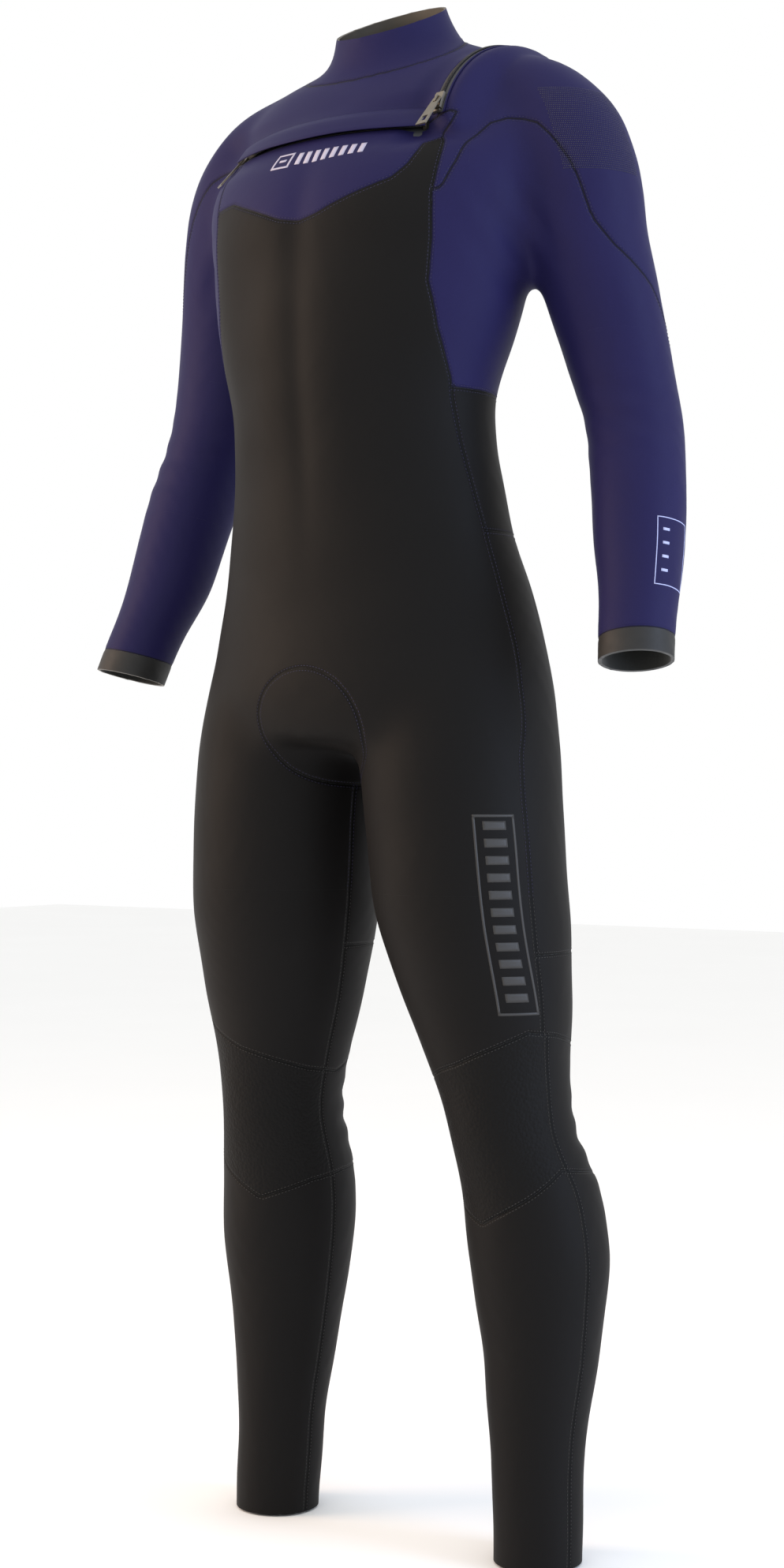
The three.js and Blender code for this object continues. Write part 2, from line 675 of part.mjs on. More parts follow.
// a runs across the zip (outwards to the arm), h out of its arc, deg behind the top.
function shPoint(a, h, deg, along = 0) {
  const back = (SH_R * GIRTH + h) * Math.sin(deg * RAD) + along * Math.cos(deg * RAD);
  const up = (SH_R + h) * Math.cos(deg * RAD) - along * Math.sin(deg * RAD);
  return [
    SH_X * GIRTH + a * Math.cos(YAW) + back * Math.sin(YAW),
    SH_Y * GIRTH + back * Math.cos(YAW) - a * Math.sin(YAW),
    (SH_Z + up) * K,
  ];
}
const shSweep = (profile, from, to, n = 18) =>
  loft(steps(from, to, n).map((deg) => profile.map(([a, h]) => shPoint(a, h, deg))));
const skin = body(-GAP, false);
// The yoke and the left sleeve are dished where the shoulder zip crosses them.
const dish = shSweep(box2(-SH_TAPE_W - KERF, SH_TAPE_W + KERF, -0.02, 14), SH_FROM - 3, SH_TO + 3);
const main = (made) => made.decompose().sort((a, b) => b.volume() - a.volume())[0];
add("yoke", main(pick(trunkParts, onTorso(0, 1345)).subtract(dish)), NAVY);
add("sleeve_top_left", main(sleeveTop.subtract(dish)), NAVY);
add("sleeve_top_right", mirrored(sleeveTop), NAVY);
const bed = shSweep(box2(-SH_TAPE_W, SH_TAPE_W, -16, 0), SH_FROM - 2.4, SH_TO + 2.4).subtract(skin);
add("shoulder_bed", main(bed), NAVY);
const shTape = box2(-SH_TAPE_W + 1, SH_TAPE_W - 1, GAP, GAP + TAPE_T);
add("shoulder_tape", shSweep(shTape, SH_FROM - 2, SH_TO + 2), GREY);
const SC = GAP * 2 + TAPE_T;
const shCoil = box2(-COIL_W / 2, COIL_W / 2, SC, SC + COIL_T);
add("shoulder_coil", shSweep(shCoil, SH_FROM - 1, SH_TO + 1), 0x1c1d20);
const raise = (profile) => profile.map(([a, h]) => [a, h - coilLow + SC]);
const shSaddle = (profile, from, to, n) => shSweep(raise(profile), from, to, n);
const SH_SLIDER = SH_FROM + 3.6;
add("shoulder_slider", saddle(shSaddle, SH_SLIDER, 4.2, 1.8), 0x6f6a5e, METAL);
const shPin = shPoint(0, bridge - coilLow + SC + 1.1, SH_SLIDER);
const HANG = 38 * RAD; // the pull hangs down and forward, along the slope of the chest
const shPull = (s, h, deg, a) => {
  const back = s * Math.sin(HANG) - h * Math.cos(HANG);
  return [
    shPin[0] + a * Math.cos(YAW) + back * Math.sin(YAW),
    shPin[1] - a * Math.sin(YAW) + back * Math.cos(YAW),
    shPin[2] + s * Math.cos(HANG) + h * Math.sin(HANG),
  ];
};
add("shoulder_puller", pull(shPull, 0, -0.65, 1.3), 0x6f6a5e, METAL);
const shStop = box2(-4, 4, SC, SC + 2.6);
add("shoulder_stop_front", shSweep(shStop, SH_FROM - 2.2, SH_FROM - 1.1, 2), 0x6f6a5e, METAL);
add("shoulder_stop_back", shSweep(shStop, SH_TO + 1.1, SH_TO + 2.2, 2), 0x6f6a5e, METAL);

export default out;
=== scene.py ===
import math

import bmesh
import bpy
import numpy as np
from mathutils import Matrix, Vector
from mathutils.bvhtree import BVHTree
from mathutils.kdtree import KDTree


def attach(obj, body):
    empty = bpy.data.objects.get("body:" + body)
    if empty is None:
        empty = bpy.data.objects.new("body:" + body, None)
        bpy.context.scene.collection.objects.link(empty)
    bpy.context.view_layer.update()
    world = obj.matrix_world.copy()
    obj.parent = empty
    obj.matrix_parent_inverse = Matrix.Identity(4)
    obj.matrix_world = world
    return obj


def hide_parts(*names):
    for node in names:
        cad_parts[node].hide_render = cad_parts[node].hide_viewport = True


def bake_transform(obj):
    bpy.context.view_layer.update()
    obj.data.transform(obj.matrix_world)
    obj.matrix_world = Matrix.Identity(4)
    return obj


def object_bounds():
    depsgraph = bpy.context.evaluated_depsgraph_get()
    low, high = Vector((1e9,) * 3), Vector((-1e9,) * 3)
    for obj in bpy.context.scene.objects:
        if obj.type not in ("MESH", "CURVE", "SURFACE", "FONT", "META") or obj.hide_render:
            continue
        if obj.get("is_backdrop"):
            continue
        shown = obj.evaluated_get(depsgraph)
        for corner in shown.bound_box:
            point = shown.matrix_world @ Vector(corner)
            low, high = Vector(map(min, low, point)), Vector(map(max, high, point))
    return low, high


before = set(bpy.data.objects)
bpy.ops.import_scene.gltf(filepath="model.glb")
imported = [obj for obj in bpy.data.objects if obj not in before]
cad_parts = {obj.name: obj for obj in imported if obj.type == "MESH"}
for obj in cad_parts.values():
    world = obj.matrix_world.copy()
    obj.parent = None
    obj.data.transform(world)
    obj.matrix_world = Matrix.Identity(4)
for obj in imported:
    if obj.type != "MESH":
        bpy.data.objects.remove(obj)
cad_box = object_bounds()

# ==== Sizes, in millimetres above the ankle ends unless a name says otherwise
HANGER_Z = 1400.0  # the frame's origin, between the shoulders
VOXEL = 4.5        # spacing of the body's surface points
T_BODY = 4.0       # neoprene thickness of the body panels
T_LIMB = 3.0       # the same on arms and legs
T_NECK = 2.4       # the same on the collar
CHEST_ZIP = dict(z=1322.0, r=216.0, x=-6.0, y=110.0, slope=36.0, start=-37.0, end=27.5)
SHOULDER_ZIP = dict(r=106.5, x=126.6, y=22.0, z=1300.0, yaw=9.3, start=-72.0, end=18.0)
SLOT_H = 6.8
COLLAR = dict(z=1416.0, y=6.0, height=33.0, tilt=27.0)
CUFF_TOP = 848.0
ELBOW = (1118.0, 988.0)

# z, half width, half depth, centre Y
TORSO = np.array([
    [1424, 78, 39, 39], [1412, 106, 50, 32], [1400, 134, 61, 23], [1385, 152, 72, 14],
    [1365, 166, 82, 7], [1340, 174, 93, 1], [1310, 182, 108, -8], [1280, 183, 118, -18],
    [1240, 176, 122, -26], [1200, 167, 118, -32], [1150, 157, 112, -40], [1080, 137, 101, -47],
    [1036, 136, 98, -45], [1000, 140, 99, -40], [957, 147, 102, -35], [900, 161, 109, -27],
    [850, 173, 117, -22], [800, 182, 120, -23], [758, 173, 106, -24]], float)
# z, centre X, centre Y, half width, half depth
LEG = np.array([
    [850, 84, -22, 84, 90], [800, 90, -23, 92, 98], [700, 102, -28, 91, 96], [600, 110, -24, 89, 92],
    [525, 119, -14, 79, 80], [450, 129, -4, 63, 66], [400, 136, 3, 57, 63], [340, 144, 23, 64, 67],
    [290, 148, 29, 65.5, 68], [240, 150, 30, 61, 63], [180, 151, 29, 53, 55], [100, 151.5, 22, 44, 45],
    [30, 154, 19, 42, 42], [0, 154.5, 18, 41.5, 42], [-16, 155, 17.5, 41.5, 42]], float)
ARM = np.array([
    [1405, 110, 18, 14, 14], [1396, 124, 18, 36, 34], [1376, 146, 17, 50, 47], [1340, 170, 18, 61, 57],
    [1300, 185, 18, 65, 61], [1262, 197, 18, 61, 59], [1225, 205, 20, 57, 57], [1170, 218, 26, 54, 53.5],
    [1110, 233, 30, 49, 48], [1050, 252, 27, 44.5, 44], [990, 266, 11, 43.5, 43], [930, 276, -3, 41, 41],
    [880, 286.5, -23, 35.5, 35.5], [828, 296, -44, 34, 34], [812, 299, -50, 34, 34]], float)
NECK = [(-34, 84, 0.35), (-16, 75, 0.75), (0, 68, 1), (16.5, 61, 1), (33, 57, 1), (46, 56, 1)]
ARM_LEAN = 0.15

# Seams: pairs of (angle from the front in degrees, height)
V_SEAM = [(0, 1233), (7, 1237), (17.5, 1250), (30, 1264), (34, 1276), (37, 1298), (44, 1306), (60, 1306)]
RAGLAN = [(-60, 1232), (-36, 1240), (-28, 1254), (-25.7, 1269), (-23.7, 1281), (-22, 1295), (-20.5, 1310),
          (-18, 1318), (-11, 1323), (0, 1321), (11, 1316), (20, 1302),
          (30, 1276), (38, 1228), (52, 1204), (70, 1186), (88, 1170), (116, 1130), (122, 1100), (127, 1056),
          (140, 1000)]
KNEE_TOP = [(-180, 470), (-95, 440), (-60, 446), (0, 466), (60, 496), (85, 492), (130, 478), (180, 470)]
KNEE_LOW = [(-180, 345), (-95, 340), (-60, 334), (-14, 316), (30, 342), (70, 368), (110, 362), (180, 345)]
# height, angle
SIDE_FRONT = [(780, 79), (880, 78), (957, 77.5), (1020, 74), (1085, 68), (1130, 56), (1170, 49), (1213, 47.2),
              (1250, 44.5), (1306, 43.5)]
SIDE_BACK = [(1076, 122), (1160, 126), (1230, 131), (1340, 132)]
SLEEVE_BACK = [(1110, 200), (1200, 215), (1400, 200)]
HIP_Z, SIDE_LOW_Z, YOKE_BACK_Z, BACK_THIGH_Z = 950.0, 1078.0, 1338.0, 566.0
PAD_IN, LEG_SIDE = -80.0, 72.0
GUSSET = dict(z=772.0, half_w=58.0, half_h=54.0)
FAR = 30.0          # seam distances stop growing here
SEAM_DEPTH = 0.45   # how far a seam is pinched in, fading out over SEAM_WIDTH
SEAM_WIDTH = 3.5
SEAM_GAP = 0.12     # how far each panel's edge is drawn back from a stitched seam, and QUIET_GAP elsewhere
QUIET_GAP = 0.01
STITCH_OFF = 2.3    # stitch rows lie this far on both sides of a seam
COIL_PITCH = 1.35
INK = 0.16          # thickness of printed ink


# ==== Camera
def add_object(name, data):
    obj = bpy.data.objects.new(name, data)
    bpy.context.scene.collection.objects.link(obj)
    return obj


def make_camera():
    turn = math.radians(36)
    cam = bpy.data.cameras.new("camera")
    cam.lens = 57.2
    cam.sensor_width = 36
    obj = add_object("camera", cam)
    obj.location = (math.sin(turn) * 2.39, -math.cos(turn) * 2.39, 0.72 - HANGER_Z / 1000)
    obj.rotation_euler = (math.pi / 2, 0, turn)
    bpy.context.scene.camera = obj


make_camera()


# ==== Small tools
def ease(x, lo, hi):
    s = np.clip((x - lo) / (hi - lo), 0, 1)
    return s * s * (3 - 2 * s)


def curve(pairs, x):
    pairs = sorted(pairs)
    return np.interp(x, [p[0] for p in pairs], [p[1] for p in pairs])


def at(rows, z):
    """Smooth row values at heights z; rows run downwards."""
    z = np.atleast_1d(np.asarray(z, float))
    i = np.clip(np.searchsorted(-rows[:, 0], -z, side="right") - 1, 0, len(rows) - 2)
    a, b = rows[i], rows[i + 1]
    p, q = rows[np.maximum(i - 1, 0)], rows[np.minimum(i + 2, len(rows) - 1)]
    h = (b[:, 0] - a[:, 0])[:, None]
    s = np.clip((z[:, None] - a[:, :1]) / h, 0, 1)
    va, vb = a[:, 1:], b[:, 1:]
    ma = (vb - p[:, 1:]) / (b[:, :1] - p[:, :1])
    mb = (q[:, 1:] - va) / (q[:, :1] - a[:, :1])
    return (va * (2 * s**3 - 3 * s**2 + 1) + vb * (3 * s**2 - 2 * s**3)
            + ma * h * (s**3 - 2 * s**2 + s) + mb * h * (s**3 - s**2))


def lean(z):
    return ARM_LEAN * (1 - ease(z, 1130, 1230))


# ==== The filled body: torso, legs, arms and neck as tubes, joined into one smooth skin
RING = 96
ANG = np.linspace(0, 2 * np.pi, RING, endpoint=False)


def torso_ring(z):
    hw, hd, cy = at(TORSO, z)[0]
    return np.c_[hw * np.sin(ANG), cy - hd * np.cos(ANG), np.full(RING, z)]


def limb_ring(rows, side, z, tilt):
    cx, cy, rx, ry = at(rows, z)[0]
    dx, dy = rx * np.sin(ANG), -ry * np.cos(ANG)
    return np.c_[side * (cx + dx), cy + dy, z + tilt * (dx - 1.33 * dy)]


def neck_ring(h, r, share):
    a = math.radians(COLLAR["tilt"] * share)
    y = -r * np.cos(ANG)
    return np.c_[r * np.sin(ANG) * 0.98, COLLAR["y"] + y * math.cos(a) - h * math.sin(a) * 0.5,
                 COLLAR["z"] + y * math.sin(a) + h * math.cos(a)]


def tube(rings):
    n = len(rings)
    verts = np.vstack(rings + [rings[0].mean(0)[None], rings[-1].mean(0)[None]])
    faces = []
    for i in range(n - 1):
        for j in range(RING):
            k = (j + 1) % RING
            faces.append((i * RING + j, i * RING + k, (i + 1) * RING + k, (i + 1) * RING + j))
    for j in range(RING):
        k = (j + 1) % RING
        faces.append((k, j, n * RING))
        faces.append(((n - 1) * RING + j, (n - 1) * RING + k, n * RING + 1))
    return verts, faces


def body_tubes():
    yield tube([torso_ring(z) for z in np.arange(758, 1425, 6)])
    for side in (1, -1):
        for rows, low, high in ((LEG, -16, 850), (ARM, 812, 1405)):
            rings = [limb_ring(rows, side, z, lean(z) if rows is ARM else 0)
                     for z in np.arange(low, high + 1, 5.5)]
            verts, faces = tube(rings)
            yield verts, ([f[::-1] for f in faces] if side < 0 else faces)
    stops = np.linspace(-34, 46, 20)
    yield tube([neck_ring(h, curve([(a, b) for a, b, _ in NECK], h), curve([(a, c) for a, _, c in NECK], h))
                for h in stops])


def filled_body():
    """All tubes as one skin of small triangles: points in mm above the ankle ends, and triangles."""
    verts, faces, start = [], [], 0
    for v, f in body_tubes():
        verts.append(v)
        faces += [tuple(i + start for i in face) for face in f]
        start += len(v)
    mesh = bpy.data.meshes.new("body")
    mesh.from_pydata((np.vstack(verts) / 1000).tolist(), [], faces)
    obj = add_object("body", mesh)
    remesh = obj.modifiers.new("remesh", "REMESH")
    remesh.mode = "VOXEL"
    remesh.voxel_size = VOXEL / 1000
    done = bpy.data.meshes.new_from_object(obj.evaluated_get(bpy.context.evaluated_depsgraph_get()))
    bpy.data.objects.remove(obj)
    bm = bmesh.new()
    bm.from_mesh(done)
    bmesh.ops.triangulate(bm, faces=bm.faces)
    bm.to_mesh(done)
    bm.free()
    points = np.empty(len(done.vertices) * 3)
    done.vertices.foreach_get("co", points)
    tris = np.empty(len(done.polygons) * 3, np.int64)
    done.polygons.foreach_get("vertices", tris)
    bpy.data.meshes.remove(done)
    return points.reshape(-1, 3) * 1000, tris.reshape(-1, 3)


def relax(P, T, weight, rounds):
    """Each point moves towards the middle of its neighbours by its weight."""
    edges = np.vstack([T[:, [0, 1]], T[:, [1, 2]], T[:, [2, 0]]])
    n = len(P)
    count = np.bincount(edges[:, 0], minlength=n)
    for _ in range(rounds):
        total = np.stack([np.bincount(edges[:, 0], P[edges[:, 1], k], n) for k in range(3)], 1)
        P = P + weight[:, None] * (total / count[:, None] - P)
    return P


def normals_of(P, T):
    face = np.cross(P[T[:, 1]] - P[T[:, 0]], P[T[:, 2]] - P[T[:, 0]])
    N = np.stack([sum(np.bincount(T[:, c], face[:, k], len(P)) for c in range(3)) for k in range(3)], 1)
    return N / np.linalg.norm(N, axis=1)[:, None]


def near(P, centre, size):
    return np.exp(-(((P - centre) / size) ** 2).sum(1))


def cone_place(P):
    """Angle, height up the chest and height off it, about the chest zip's own cone."""
    c = CHEST_ZIP
    slope = math.radians(c["slope"])
    dx, dy = P[:, 0] - c["x"], c["y"] - P[:, 1]
    rho, dz = np.hypot(dx, dy) - c["r"], P[:, 2] - c["z"]
    up = dz * math.cos(slope) - rho * math.sin(slope)
    off = rho * math.cos(slope) + dz * math.sin(slope)
    return np.degrees(np.arctan2(dx, dy)), up, off


def arc_place(P):
    """Angle behind the top, distance across and height off the shoulder zip's arc."""
    c = SHOULDER_ZIP
    yaw = math.radians(c["yaw"])
    dx, dy, dz = P[:, 0] - c["x"], P[:, 1] - c["y"], P[:, 2] - c["z"]
    across = dx * math.cos(yaw) - dy * math.sin(yaw)
    back = dx * math.sin(yaw) + dy * math.cos(yaw)
    return np.degrees(np.arctan2(back, dz)), across, np.hypot(back, dz) - c["r"]


def shape_body(P, T):
    base = np.full(len(P), 0.5)
    P = relax(P, T, base, 5)
    soft = np.zeros(len(P))
    for side in (1, -1):
        soft += near(P, (side * 160, -5, 1200), (38, 60, 55))
        soft += near(P, (side * 136, 20, 1385), (40, 60, 36))
        soft += 0.8 * near(P, (side * 150, 5, 1290), (34, 75, 60))
        soft += 0.9 * near(P, (side * 100, -20, 800), (90, 120, 40))
    soft += near(P, (0, -20, 752), (52, 100, 36))
    soft += 0.8 * near(P, (0, 6, 1408), (88, 88, 26))
    P = relax(P, T, np.clip(soft, 0, 1) * 0.9, 46)
    N = normals_of(P, T)
    x, y, z = P.T
    ax = np.abs(x)
    # breastbone valley, chest muscles, belly line, seat and shoulder blades
    lift = -3.0 * np.exp(-((x / 17) ** 2) - ((z - 1235) / 75) ** 2) * (y < -40)
    lift += 3.0 * np.exp(-(((ax - 68) / 44) ** 2) - ((z - 1246) / 40) ** 2) * (y < -40)
    lift -= 2.2 * np.exp(-((x / 12) ** 2) - ((z - 1070) / 110) ** 2) * (y < -40)
    lift += 1.6 * np.exp(-(((ax - 38) / 22) ** 2) - ((z - 1080) / 110) ** 2) * (y < -40)
    lift += 9.0 * np.exp(-(((ax - 74) / 52) ** 2) - ((z - 862) / 58) ** 2) * (y > 10)
    lift -= 9.0 * np.exp(-((x / 20) ** 2) - ((z - 850) / 70) ** 2) * (y > 10)
    lift -= 4.0 * np.exp(-((x / 20) ** 2) - ((z - 1120) / 130) ** 2) * (y > 10)
    lift += 3.0 * np.exp(-(((ax - 78) / 40) ** 2) - ((z - 1250) / 60) ** 2) * (y > 10)
    # slack folds: behind the knees, inside the elbows, at the waist and under the arms
    back_knee = np.exp(-(((z - 400) / 46) ** 2)) * ease(y, 15, 50)
    lift += back_knee * 1.3 * np.sin(z / 4.4 + 0.02 * x)
    inner_elbow = np.exp(-(((z - 1052) / 40) ** 2)) * (ax > 190) * ease(-y, -24, 20)
    lift += inner_elbow * 0.9 * np.sin(z / 4.2 + 0.05 * x)
    pit = sum(near(P, (s * 164, -20, 1215), (36, 60, 52)) for s in (1, -1))
    lift += pit * 1.5 * np.sin((z * 0.55 + ax * 0.85 + y * 0.2) / 4.6)
    slack = np.sin(z / 21 + 1.7 * np.sin(x / 47)) * np.sin(y / 33 + z / 95) + np.sin(z / 13 - x / 31) * 0.5
    lift += 0.45 * slack
    P = P + N * lift[:, None]
    # the chest lies true to its zip, and the left shoulder to its own
    deg, up, off = cone_place(P)
    hold = (1 - ease(np.abs(up), 14, 40)) * (1 - ease(np.abs(deg + 4), 36, 50)) * (y < 0)
    c = CHEST_ZIP
    slope = math.radians(c["slope"])
    out = np.c_[np.sin(np.radians(deg)), -np.cos(np.radians(deg)), np.zeros(len(P))] * math.cos(slope)
    out[:, 2] = math.sin(slope)
    P = P - out * (off * hold)[:, None]
    deg, across, off = arc_place(P)
    hold = (1 - ease(np.abs(across), 13, 34)) * (1 - ease(np.abs(deg + 27), 50, 68)) * (P[:, 2] > 1290)
    yaw = math.radians(SHOULDER_ZIP["yaw"])
    s, k = np.sin(np.radians(deg)), np.cos(np.radians(deg))
    out = np.c_[s * math.sin(yaw), s * math.cos(yaw), k]
    P = P - out * (off * hold)[:, None]
    return relax(P, T, np.full(len(P), 0.3), 1)


BODY_P, BODY_T = filled_body()
BODY_P = shape_body(BODY_P, BODY_T)


# ==== Seams: signed distances in mm from each seam, one column each, and the cuts along them
def arm_place(P):
    """Height along the arm, and the angle round it from the front, positive outwards."""
    ax, y, z = np.abs(P[:, 0]), P[:, 1], P[:, 2]
    q = z.copy()
    for _ in range(14):
        row = at(ARM, np.clip(q, 812, 1405))
        q = z - lean(q) * ((ax - row[:, 0]) - 1.33 * (y - row[:, 1]))
    row = at(ARM, np.clip(q, 812, 1405))
    return q, np.degrees(np.arctan2((ax - row[:, 0]) / row[:, 2], -(y - row[:, 1]) / row[:, 3]))


def leg_place(P):
    row = at(LEG, np.clip(P[:, 2], -16, 850))
    dx, dy = np.abs(P[:, 0]) - row[:, 0], P[:, 1] - row[:, 1]
    return np.degrees(np.arctan2(dx / row[:, 2], -dy / row[:, 3])), np.hypot(dx, dy)


def torso_place(P):
    row = at(TORSO, np.clip(P[:, 2], 758, 1424))
    dy = row[:, 2] - P[:, 1]
    return np.degrees(np.arctan2(P[:, 0] / row[:, 0], dy / row[:, 1])), np.hypot(P[:, 0], dy)


def wrap(angle):
    return (angle + 180) % 360 - 180


def mm(angle, radius):
    return np.radians(angle) * radius


COLLAR_TOP = COLLAR["height"] + 3.5


def seam_fields(P):
    x, y, z = P.T
    ax = np.abs(x)
    tilt = math.radians(COLLAR["tilt"])
    det = math.cos(tilt) ** 2 + 0.5 * math.sin(tilt) ** 2
    neck = (math.cos(tilt) * (z - COLLAR["z"]) - math.sin(tilt) * (y - COLLAR["y"])) / det
    q, arm = arm_place(P)
    leg, leg_r = leg_place(P)
    tor, tor_r = torso_place(P)
    deg, up, _ = cone_place(P)
    back, across, _ = arc_place(P)
    armhole = ax - (165 - 37 * (z - 1160) / 265)
    raglan = z - curve(RAGLAN, np.where(arm < -160, arm + 360, arm))
    low_leg = 1 - ease(z, 742, 800)
    out = low_leg * mm(LEG_SIDE - leg, leg_r) + (1 - low_leg) * mm(curve(SIDE_FRONT, z) - np.abs(tor), tor_r)
    near_zip = 1 - ease(np.abs(deg + 5), 35, 47)
    zip_line = near_zip * up + (1 - near_zip) * (z - CHEST_ZIP["z"])
    slot = np.maximum(np.abs(up) - SLOT_H, mm(np.abs(deg + 5.25) - 34.35, CHEST_ZIP["r"]))
    gusset = (1 - np.hypot(x / GUSSET["half_w"], (z - GUSSET["z"]) / GUSSET["half_h"])) * 56
    return dict(
        collar=neck, rim=neck - COLLAR_TOP, arm=armhole,
        cuff=q - CUFF_TOP, wrist=q - 828, elbow_top=q - ELBOW[0], elbow_low=q - ELBOW[1],
        raglan=raglan, arm_back=mm(np.abs(wrap(arm - 20)) - (curve(SLEEVE_BACK, z) - 20), 52), ankle=z,
        zip=np.where(y < 20, zip_line, z - 1330), slot=slot,
        v=z - curve(V_SEAM, np.where(tor < 0, tor_right(tor), tor)),
        front=out, back=mm(np.abs(tor) - curve(SIDE_BACK, z), tor_r), side_low=z - SIDE_LOW_Z, hip=z - HIP_Z,
        yoke_back=z - YOKE_BACK_Z, gusset=gusset, inner=mm(wrap(leg) - PAD_IN, leg_r),
        pad=mm(78 - np.abs(wrap(leg + 2)), leg_r), knee_top=z - curve(KNEE_TOP, leg),
        knee_low=z - curve(KNEE_LOW, leg), back_thigh=z - BACK_THIGH_Z, mid_thigh=z - 620, across=across,
        left=x, height=z, depth=y, arm_angle=arm, torso_angle=tor, arc=back)


def tor_right(angle):
    """The right half of the V rises steadily to the arm, so its angles stop at the last even part."""
    return np.minimum(-angle, 30)


def cut(P, N, F, T, col, mask):
    """Splits every triangle that the seam in column col crosses, so that the seam runs along edges."""
    f = F[:, col]
    f[mask & (np.abs(f) < 0.3)] = 0
    e = np.vstack([T[:, [0, 1]], T[:, [1, 2]], T[:, [2, 0]]])
    e.sort(axis=1)
    uniq, inv = np.unique(e, axis=0, return_inverse=True)
    inv = inv.reshape(3, -1).T
    a, b = uniq.T
    hit = (f[a] * f[b] < 0) & mask[a] & mask[b]
    a, b = a[hit], b[hit]
    t = (f[a] / (f[a] - f[b]))[:, None]
    new = np.full(len(uniq), -1)
    new[hit] = len(P) + np.arange(hit.sum())
    P = np.vstack([P, P[a] + t * (P[b] - P[a])])
    n = N[a] + t * (N[b] - N[a])
    N = np.vstack([N, n / np.linalg.norm(n, axis=1)[:, None]])
    more = F[a] + t * (F[b] - F[a])
    more[:, col] = 0
    F = np.vstack([F, more])
    m = new[inv]
    parts = [T[(m < 0).all(1)]]
    for k in range(3):
        i, j, o = T[:, k], T[:, (k + 1) % 3], T[:, (k + 2) % 3]
        ij, jo, oi = m[:, k], m[:, (k + 1) % 3], m[:, (k + 2) % 3]
        one = (ij >= 0) & (jo < 0) & (oi < 0)
        parts += [np.c_[i, ij, o][one], np.c_[ij, j, o][one]]
        two = (ij >= 0) & (oi >= 0) & (jo < 0)
        parts += [np.c_[i, ij, oi][two], np.c_[ij, j, oi][two], np.c_[j, o, oi][two]]
    every = (m >= 0).all(1)
    parts += [np.c_[T[:, 0], m[:, 0], m[:, 2]][every], np.c_[m[:, 0], T[:, 1], m[:, 1]][every],
              np.c_[m[:, 2], m[:, 1], T[:, 2]][every], m[every]]
    return P, N, F, np.vstack(parts)


def cut_panels(P, T):
    N = normals_of(P, T)
    fields = seam_fields(P)
    names = list(fields)
    F = np.stack([fields[k] for k in names], 1)
    col = {k: i for i, k in enumerate(names)}

    def on_arm(pad=0.0):
        return F[:, col["arm"]] > -pad

    def on_neck(pad=0.0):
        return (F[:, col["collar"]] > -pad) & (P[:, 2] > 1370)

    def on_trunk(pad=0.0):
        return (F[:, col["arm"]] < pad) & ~on_neck(-pad)

    def run(name, where):
        nonlocal P, N, F, T
        P, N, F, T = cut(P, N, F, T, col[name], where())

    z = lambda: P[:, 2]
    y = lambda: P[:, 1]
    run("collar", lambda: (z() > 1370) & (F[:, col["arm"]] < 0))
    run("rim", lambda: on_neck(9))
    run("arm", lambda: z() > 800)
    for name in ("cuff", "wrist", "elbow_top", "elbow_low"):
        run(name, lambda: on_arm(9))
    run("raglan", lambda: (on_arm(9) & (F[:, col["elbow_top"]] > -9))
        | ((P[:, 0] > 60) & (y() < 10) & (z() > 1200)))
    run("arm_back", lambda: on_arm(9) & (F[:, col["elbow_top"]] > -9) & (y() > 0))
    run("ankle", lambda: z() < 100)
    run("slot", lambda: on_trunk() & (y() < 0) & (z() > 1280))
    run("zip", lambda: on_trunk(9) & (z() > 1270))
    run("v", lambda: on_trunk(9) & (y() < 20) & (z() > 1200))
    run("front", lambda: on_trunk(9) & (z() > 470))
    run("back", lambda: on_trunk(9) & (y() > -40) & (z() > 1060))
    run("side_low", lambda: on_trunk(9))
    run("hip", lambda: on_trunk(9))
    run("yoke_back", lambda: on_trunk(9) & (y() > -10))
    run("across", lambda: on_trunk(9) & (P[:, 0] > 60) & (z() > 1230))
    run("gusset", lambda: np.abs(z() - 770) < 80)
    run("inner", lambda: (z() < 735) & (np.abs(wrap(F[:, col["inner"]])) < 60) & (F[:, col["gusset"]] < 9))
    run("pad", lambda: z() < 520)
    for name in ("knee_top", "knee_low"):
        run(name, lambda: z() < 560)
    run("back_thigh", lambda: (z() < 700) & (z() > 500))
    run("mid_thigh", lambda: (z() < 700) & (z() > 500))
    M = F[T].mean(1)
    return P, N, T, {k: M[:, i] for k, i in col.items()}


